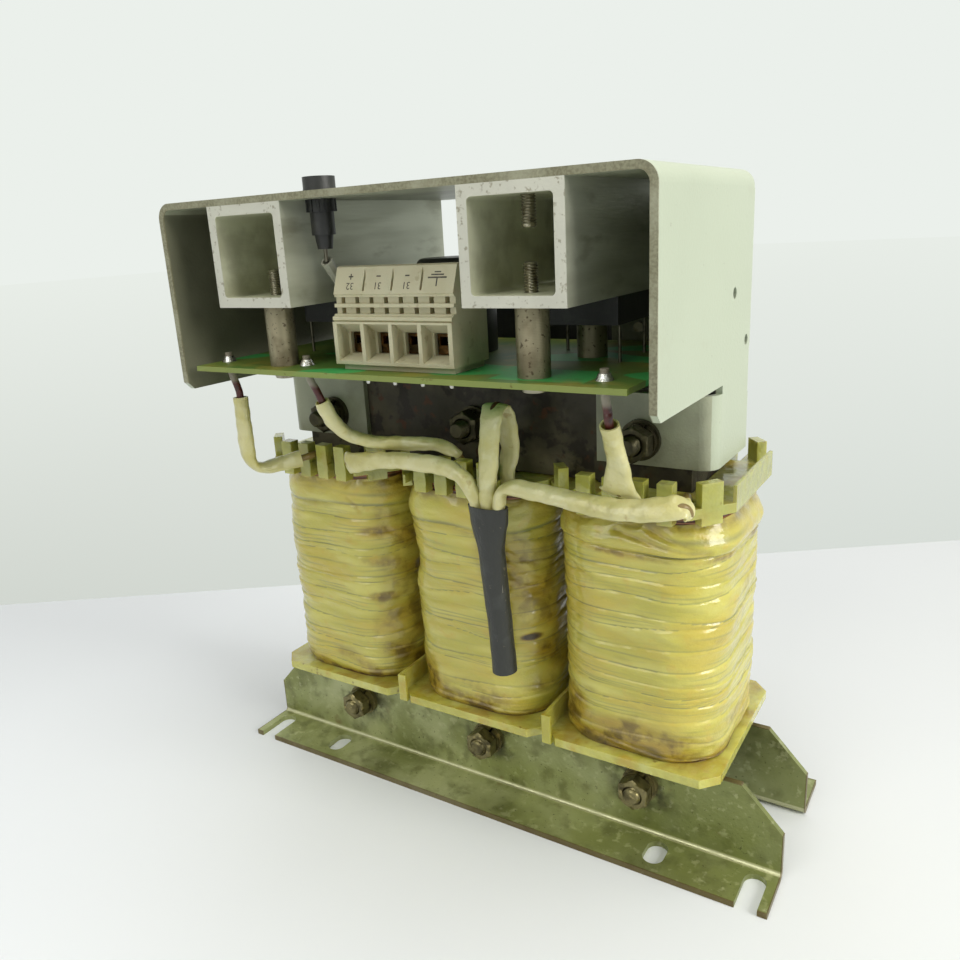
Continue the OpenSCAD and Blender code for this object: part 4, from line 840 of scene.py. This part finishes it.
solder_finish = Finish("solder", (196, 196, 190), 0.25, Metallic=0.9)
solder_finish.mottle(2, 0.5, 0.7, (140, 136, 122))
solder_finish.grain(1.5, 0.3, 0.7, 0.1).dress("solder_joints")


# Rectifiers and smoothing capacitor. Two square bridge rectifiers are clamped between the tubes
# and their spacers; the capacitor is an aluminium can in a dark shrunk sleeve.
moulding_finish = Finish("black_moulding", (30, 31, 30), 0.45)
moulding_finish.mottle(5, 0.5, 0.7, (48, 48, 44), 0.7, detail=5, seed=3)
moulding_finish.grain(0.5, 0.3, 0.7, 0.02, detail=2, seed=4)
moulding_finish.dress(
    "rectifier_left", "rectifier_right", "fuse_holder_body", "fuse_holder_nut", "fuse_cap"
)
# Painted shade: the tinned wire is given a dull, dark tone, for leads that stand in shadow under
# the tubes.
lead_finish = Finish("tinned_wire", (112, 108, 94), 0.34, Metallic=0.85)
lead_finish.mottle(2, 0.5, 0.7, (72, 68, 56), 0.8)
lead_finish.grain(0.6, 0.3, 0.7, 0.02).dress("rectifier_leads", "capacitor_pins")
can_finish = Finish("can_sleeve", (46, 48, 42), 0.4)
can_finish.mottle(6, 0.5, 0.7, (58, 60, 52), 0.8, detail=5)
can_finish.grain(4, 0.3, 0.7, 0.05).dress("smoothing_capacitor")


# Output terminal. A four-pole push-in block of grey-beige polyamide with copper clamps behind the
# wire funnels, test windows above them and a sloping legend face.
block_finish = Finish("terminal_moulding", (196, 191, 160), 0.42, Subsurface_Weight=0.05)
block_finish.mottle(12, 0.45, 0.7, (184, 178, 144), 0.8, detail=5, seed=3)
block_finish.mottle(3, 0.62, 0.72, (150, 138, 100), 0.5, detail=5, seed=8)
block_finish.grain(0.7, 0.3, 0.7, 0.02, detail=2, seed=5).dress("terminal_housing")
# Painted shade: the copper clamps, deep in the funnels, are given a dark tone and large darker
# clouds.
copper_finish = Finish("terminal_copper", (112, 80, 48), 0.28, Metallic=1.0)
copper_finish.mottle(2, 0.36, 0.6, (60, 50, 32), detail=5)
copper_finish.grain(0.8, 0.3, 0.7, 0.02).dress("terminal_clamps", "terminal_screws")

pole_pitch, block_x, pin_y, pin_foot = 10.16, 1.35, -53.0, 160.1
pole_x = [block_x + (k - 1.5) * pole_pitch for k in range(4)]
tips = []
for x in pole_x:
    tip = turned([(0, 0.55), (0.5, 0.75), (1.6, 0.8), (2.6, 1.2), (3.4, 1.9), (3.5, 1.9)], 20)
    tips.append((tip + np.array([x, pin_y, pin_foot]), False))
skin("terminal_solder", tips, solder_finish)

legend_finish = Finish("legend_ink", (70, 66, 58), 0.6)
legend_finish.mottle(1.2, 0.45, 0.7, (110, 104, 88), 0.6)
legend_finish.grain(0.4, 0.3, 0.7, 0.01)
face_foot = np.array([-58.4, 187.2])
face_top = np.array([-55.6, 194.6])
face_up = (face_top - face_foot) / np.linalg.norm(face_top - face_foot)
face_out = np.array([-face_up[1], face_up[0]])


def on_legend_face(across, up, out):
    """Places a point of a mark: across the block, up the sloping face, and out of that face."""
    y = face_foot[0] + up * face_up[0] + out * face_out[0]
    z = face_foot[1] + up * face_up[1] + out * face_out[1]
    return np.stack([across, y, z], -1)


def stroke(across, up, width, height):
    """A flat bar of ink on the legend face, as two rings of four corners."""
    a = across + np.array([-1, 1, 1, -1]) * width / 2
    u = up + np.array([-1, -1, 1, 1]) * height / 2
    rings = [on_legend_face(a, u, np.full(4, out)) for out in (-0.03, 0.04)]
    return np.array(rings), False


strokes = [
    stroke(pole_x[0], 5.1, 1.7, 0.4),
    stroke(pole_x[0], 5.1, 0.4, 1.7),
    stroke(pole_x[1], 5.1, 1.5, 0.4),
    stroke(pole_x[2], 5.1, 1.5, 0.4),
    stroke(pole_x[3], 3.1, 0.4, 2.3),
    stroke(pole_x[3], 4.4, 6.2, 0.45),
    stroke(pole_x[3], 5.2, 4.2, 0.4),
    stroke(pole_x[3], 5.95, 2.1, 0.35),
]
skin("legend_signs", strokes, legend_finish, smooth=False)
for k, number in enumerate(("32", "31", "31")):
    text = bpy.data.curves.new("pole_number", "FONT")
    text.body = number
    text.size = 2.9
    text.extrude = 0.035
    text.align_x = "CENTER"
    text.align_y = "CENTER"
    written = add("pole_number", text)
    bpy.context.view_layer.update()
    mesh = bpy.data.meshes.new_from_object(written)
    bpy.data.objects.remove(written)
    flat = np.empty(len(mesh.vertices) * 3)
    mesh.vertices.foreach_get("co", flat)
    flat = flat.reshape(-1, 3)
    placed = on_legend_face(pole_x[k] - flat[:, 0], 2.4 - flat[:, 1], flat[:, 2] + 0.005)
    mesh.vertices.foreach_set("co", placed.ravel() / 1000)
    mesh.materials.clear()
    mesh.materials.append(legend_finish.material)
    piece = add(f"pole_number_{k + 1}", mesh)
    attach(piece, "root")


# Fuse holder. A panel holder goes through the roof and is held by a ribbed nut; a glass fuse sits
# inside under a slotted cap, and its sleeved wire runs down to the board.
glass_finish = Finish("fuse_glass", (190, 200, 196), 0.1, Transmission_Weight=0.6)
glass_finish.grain(2, 0.3, 0.7, 0.02).dress("fuse_cartridge")


# Leads. The coil ends come up as enamelled copper wires in ivory silicone sleeves: three go to the
# board, and three bend over the crown to the star point. The sleeves kink and flatten at bends.
def smooth_path(points, steps):
    """A Catmull-Rom curve through the points: each span is a cubic whose end slopes follow the
    neighbouring points, sampled steps times."""
    points = np.array(points, float)
    padded = np.concatenate([2 * points[:1] - points[1:2], points, 2 * points[-1:] - points[-2:-1]])
    before, start, end, after = (padded[k : len(points) - 1 + k, None] for k in range(4))
    t = np.linspace(0, 1, steps, endpoint=False)[None, :, None]
    curve = 0.5 * (
        2 * start
        + (end - before) * t
        + (2 * before - 5 * start + 4 * end - after) * t**2
        + (3 * start - before - 3 * end + after) * t**3
    )
    return np.concatenate([curve.reshape(-1, 3), points[-1:]])


def unit(vectors):
    """The same directions with length one."""
    return vectors / np.maximum(np.linalg.norm(vectors, axis=-1, keepdims=True), 1e-9)


def carried_frames(path, normal):
    """Tangent and two cross directions at each point, carried along the path without twist."""
    tangent = unit(np.gradient(path, axis=0))
    side = np.empty_like(path)
    for k, direction in enumerate(tangent):
        normal = unit(normal - (normal @ direction) * direction)
        side[k] = normal
    return tangent, side, np.cross(tangent, side)


def tube_rings(path, wide, flat, sides=24, normal=(0.0, 1.0, 0.3), kink=0.0, rough=0.0, seed=1):
    """Rings along a path: an oval of half widths wide and flat, squeezed by kink in the direction
    in which the path bends and spread across it, with a little unevenness from rough."""
    tangent, side, other = carried_frames(path, np.array(normal))
    reach = np.concatenate([[0], np.cumsum(np.linalg.norm(np.diff(path, axis=0), axis=1))])
    bend = np.gradient(tangent, axis=0) / np.gradient(reach)[:, None]
    window = np.hanning(9) / np.hanning(9).sum()
    bend = np.stack([np.convolve(bend[:, k], window, "same") for k in range(3)], -1)
    amount = np.clip(np.linalg.norm(bend, axis=1, keepdims=True) * kink, 0, 0.42)[:, None]
    inward = unit(bend)[:, None]
    angle = np.linspace(0, 2 * np.pi, sides, endpoint=False)[None, :, None]
    wide, flat = (np.broadcast_to(v, len(path))[:, None, None] for v in (wide, flat))
    offset = wide * np.cos(angle) * side[:, None] + flat * np.sin(angle) * other[:, None]
    toward = (offset * inward).sum(-1, keepdims=True) * inward
    offset = offset - amount * toward + 0.35 * amount * (offset - toward)
    draw = np.random.default_rng(seed)
    uneven = sum(
        draw.uniform(0.3, 1) * np.cos(reach[:, None, None] * f + m * angle + draw.uniform(0, 6.3))
        for m, f in ((1, 0.5), (2, 0.23), (1, 0.9), (3, 0.35), (2, 1.3))
    )
    return path[:, None] + offset * (1 + rough * uneven)


def open_tube(outer, wall):
    """A tube's outer rings followed by its inner rings, back to the start, one wall further in."""
    middle = outer.mean(axis=1, keepdims=True)
    inner = outer + unit(middle - outer) * wall
    return np.concatenate([outer, inner[::-1]]), True


# Each lead: the points of its route from the board or the coil, the first point under the sleeve,
# the sleeve's half widths across and along the bend at each point, and the first cross direction.
lead_routes = {
    "phase_left": (
        [(-71.5, -55, 168.2), (-71.4, -55, 162), (-69.8, -54.6, 156.5), (-69.2, -54.6, 153),
         (-69.2, -54.6, 142), (-69.8, -53.6, 131), (-68.5, -50, 127), (-65.5, -42.5, 127),
         (-62, -37, 127.6), (-60.1, -33.4, 128), (-60, -30, 128), (-60, -25.4, 126.5),
         (-60, -24.8, 121.9)],
        3,
        [(2.7, 2.4), (3.0, 2.2), (3.1, 2.2), (2.7, 2.5), (2.4, 2.7), (2.2, 3.1)],
        (1, 0, 0),
    ),
    "phase_middle": (
        [(-36.5, -55, 168.2), (-36.4, -55, 162), (-34.6, -54, 156.9), (-33.6, -53.2, 153.4),
         (-33, -50, 146.4), (-32, -43, 140), (-26.5, -38, 137), (-17.4, -34.2, 136.4),
         (-7.5, -31.6, 136.3), (-2.8, -29.9, 135.1), (-0.3, -27, 132.3), (0, -25, 128),
         (0, -24.8, 121.9)],
        3,
        [(2.5, 2.3), (2.9, 2.3), (3.1, 2.1), (2.9, 2.2), (2.7, 2.3), (2.5, 2.3), (2.3, 2.2),
         (1.7, 1.9)],
        (1, 0, 0),
    ),
    "phase_right": (
        [(65, -56, 168.2), (65, -56, 162), (65.5, -55.4, 157), (65.6, -54.8, 153.5),
         (64, -46, 141.7), (62, -40, 132), (61, -36.4, 129), (60.2, -29.6, 127.8),
         (60, -25.2, 126), (60, -24.8, 121.9)],
        3,
        [(2.6, 2.4), (3.0, 2.1), (4.6, 1.7), (6.2, 1.4)],
        (1, 0, 0),
    ),
    "star_left": (
        [(-43.2, -24.8, 121.9), (-43.2, -25.4, 126.5), (-42.6, -31, 128.4), (-40.4, -36, 128.2),
         (-37.6, -38.4, 128.6), (-32, -39.4, 129.8), (-21, -38.8, 131.4), (-3.4, -39.4, 132),
         (6.8, -40.2, 130.8), (12, -40.8, 127.2), (14.2, -40.5, 122), (14.3, -40, 115),
         (15.9, -38.4, 100)],
        2,
        [(1.6, 1.5), (3.0, 1.5), (3.7, 1.6), (3.2, 2.0), (2.9, 2.3), (3.0, 2.2), (3.1, 2.1),
         (2.8, 2.2), (2.4, 2.2), (1.95, 1.95)],
        (0, 0, 1),
    ),
    "star_middle": (
        [(16.8, -24.8, 121.9), (17, -25, 128.6), (18.6, -25.4, 136), (18.6, -28, 147),
         (18.4, -32, 151), (18.2, -35.6, 147), (18.2, -38, 135), (18.4, -39.8, 126.4),
         (18.4, -40.5, 122), (18.4, -40, 115), (18.4, -38.4, 100)],
        0,
        [(2.6, 1.6), (3.2, 1.8), (3.6, 1.7), (3.8, 1.6), (4.0, 1.5), (3.9, 1.5), (3.5, 1.8),
         (2.8, 2.1), (2.4, 2.2), (1.95, 1.95)],
        (1, 0, 0),
    ),
    "star_right": (
        [(76.8, -24.8, 121.9), (76.8, -25.4, 126.5), (78.4, -31, 127), (80.8, -35.2, 124.8),
         (80.2, -38.4, 127.8), (74, -41.2, 127.4), (62, -42.6, 126.2), (44, -42, 127.4),
         (30, -41.4, 128.4), (24.8, -41, 127), (22.6, -40.5, 122), (22.5, -40, 115),
         (20.9, -38.4, 100)],
        2,
        [(1.6, 1.2), (2.6, 1.1), (3.4, 1.4), (3.7, 1.6), (3.4, 1.8), (2.9, 2.1), (2.8, 2.3),
         (2.6, 2.3), (2.4, 2.2), (1.95, 1.95)],
        (0, 0, 1),
    ),
}
wire_radius, sleeve_wall, route_steps = 1.2, 0.5, 12

enamel_finish = Finish("lead_enamel", (78, 24, 20), 0.4, Coat_Weight=0.2)
enamel_finish.mottle(2.5, 0.5, 0.7, (50, 22, 16), detail=5)
enamel_finish.paint(enamel_finish.along("Z", 150, 148), (128, 108, 50), 0.9)
tinned = enamel_finish.along("Z", 157.5, 159.5)
enamel_finish.paint(tinned, (150, 142, 126))
enamel_finish.grain(1.2, 0.3, 0.7, 0.08)
sleeving_finish = Finish(
    "lead_sleeving", (214, 208, 152), 0.34, Coat_Weight=0.5, Coat_Roughness=0.15,
    Subsurface_Weight=0.2, Subsurface_Scale=0.002, Subsurface_Radius=(1.0, 0.85, 0.4),
)
yellowed = sleeving_finish.clouds(14, 0.42, 0.7, seed=2)
sleeving_finish.paint(yellowed, (196, 188, 116), 0.85)
sleeving_finish.mottle(6, 0.5, 0.72, (222, 218, 172), 0.7, detail=5, seed=12)
sleeving_finish.mottle(5, 0.64, 0.76, (160, 130, 60), 0.6, detail=6, seed=6)
sleeving_finish.grain(4, 0.3, 0.7, 0.25, seed=7)
for k, (lead, (route, first, widths, across)) in enumerate(lead_routes.items()):
    kind, leg = lead.split("_")
    wire_node, sleeve_node = f"{kind}_wire_{leg}", f"{kind}_sleeve_{leg}"
    path = smooth_path(route, route_steps)
    wire = tube_rings(path, wire_radius, wire_radius, 16)
    skin(wire_node, [(wire, False)], enamel_finish, [wire_node])
    last = first + len(widths) - 1
    covered = path[first * route_steps : last * route_steps + 1]
    share = np.linspace(0, len(widths) - 1, len(covered))
    wide, flat = (np.interp(share, range(len(widths)), side) for side in zip(*widths))
    sleeve = tube_rings(covered, wide, flat, 32, normal=across, kink=1.6, rough=0.03, seed=k + 3)
    parts = [open_tube(sleeve, sleeve_wall)]
    skin(sleeve_node, parts, sleeving_finish, [sleeve_node], crease=60)

lead_finish.dress("fuse_lead_wire")
fuse_sleeve_finish = Finish("fuse_lead_sleeving", (176, 176, 160), 0.4)
fuse_sleeve_finish.mottle(4, 0.45, 0.7, (150, 150, 132))
fuse_sleeve_finish.grain(2, 0.3, 0.7, 0.05).dress("fuse_lead_sleeve")


# Star joint. The three sleeved ends are gathered, crimped and covered by one length of black
# heat-shrink, which grips the sleeves at the top and hangs down in front of the middle coil.
shrink_finish = Finish("heat_shrink", (40, 42, 38), 0.42, Sheen_Weight=0.05)
shrink_finish.mottle(7, 0.5, 0.72, (56, 59, 56), 0.8, detail=5, seed=3)
shrink_finish.mottle(2, 0.66, 0.74, (112, 104, 84), 0.5, detail=5, seed=6)
shrink_finish.grain(3, 0.3, 0.7, 0.2, detail=5, stretch=(1, 1, 2.5), seed=4)
shrink_path = smooth_path(
    [(18.4, -40.2, 121), (18.3, -39.4, 108), (18.2, -37.4, 91), (18.6, -36.3, 76), (19.1, -36, 62)],
    route_steps,
)
share = np.linspace(0, 4, len(shrink_path))
shrink_wall = 0.6
shrink = tube_rings(
    shrink_path,
    np.interp(share, [0, 0.45, 0.75, 1.1, 2, 3.2, 4], [7.0, 6.6, 5.7, 4.5, 4.3, 4.0, 4.2]),
    np.interp(share, range(5), [3.4, 3.6, 3.9, 4.0, 4.1]),
    40,
    normal=(1.0, 0.0, 0.0),
    rough=0.012,
    seed=5,
)
parts = [open_tube(shrink, shrink_wall)]
skin("heat_shrink_sleeve", parts, shrink_finish, ["heat_shrink_sleeve"], crease=60)
crimp_finish = Finish("star_solder", (150, 146, 136), 0.35, Metallic=0.8)
crimp_finish.mottle(2, 0.4, 0.7, (120, 116, 104))
crimp_finish.grain(1, 0.3, 0.7, 0.1).dress("star_joint")


# Tap strip. A moulded terminal strip with plated brass plates and screws, for the mains taps, is
# screwed to the back of the hood above the upper yoke.
moulding_finish.dress("tap_strip_body")
strip_finish = Finish("strip_metal", (170, 164, 140), 0.35, Metallic=0.85)
strip_finish.mottle(3, 0.45, 0.7, (128, 118, 88), detail=5)
strip_finish.grain(0.8, 0.3, 0.7, 0.03).dress("tap_strip_terminals")


low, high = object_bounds()
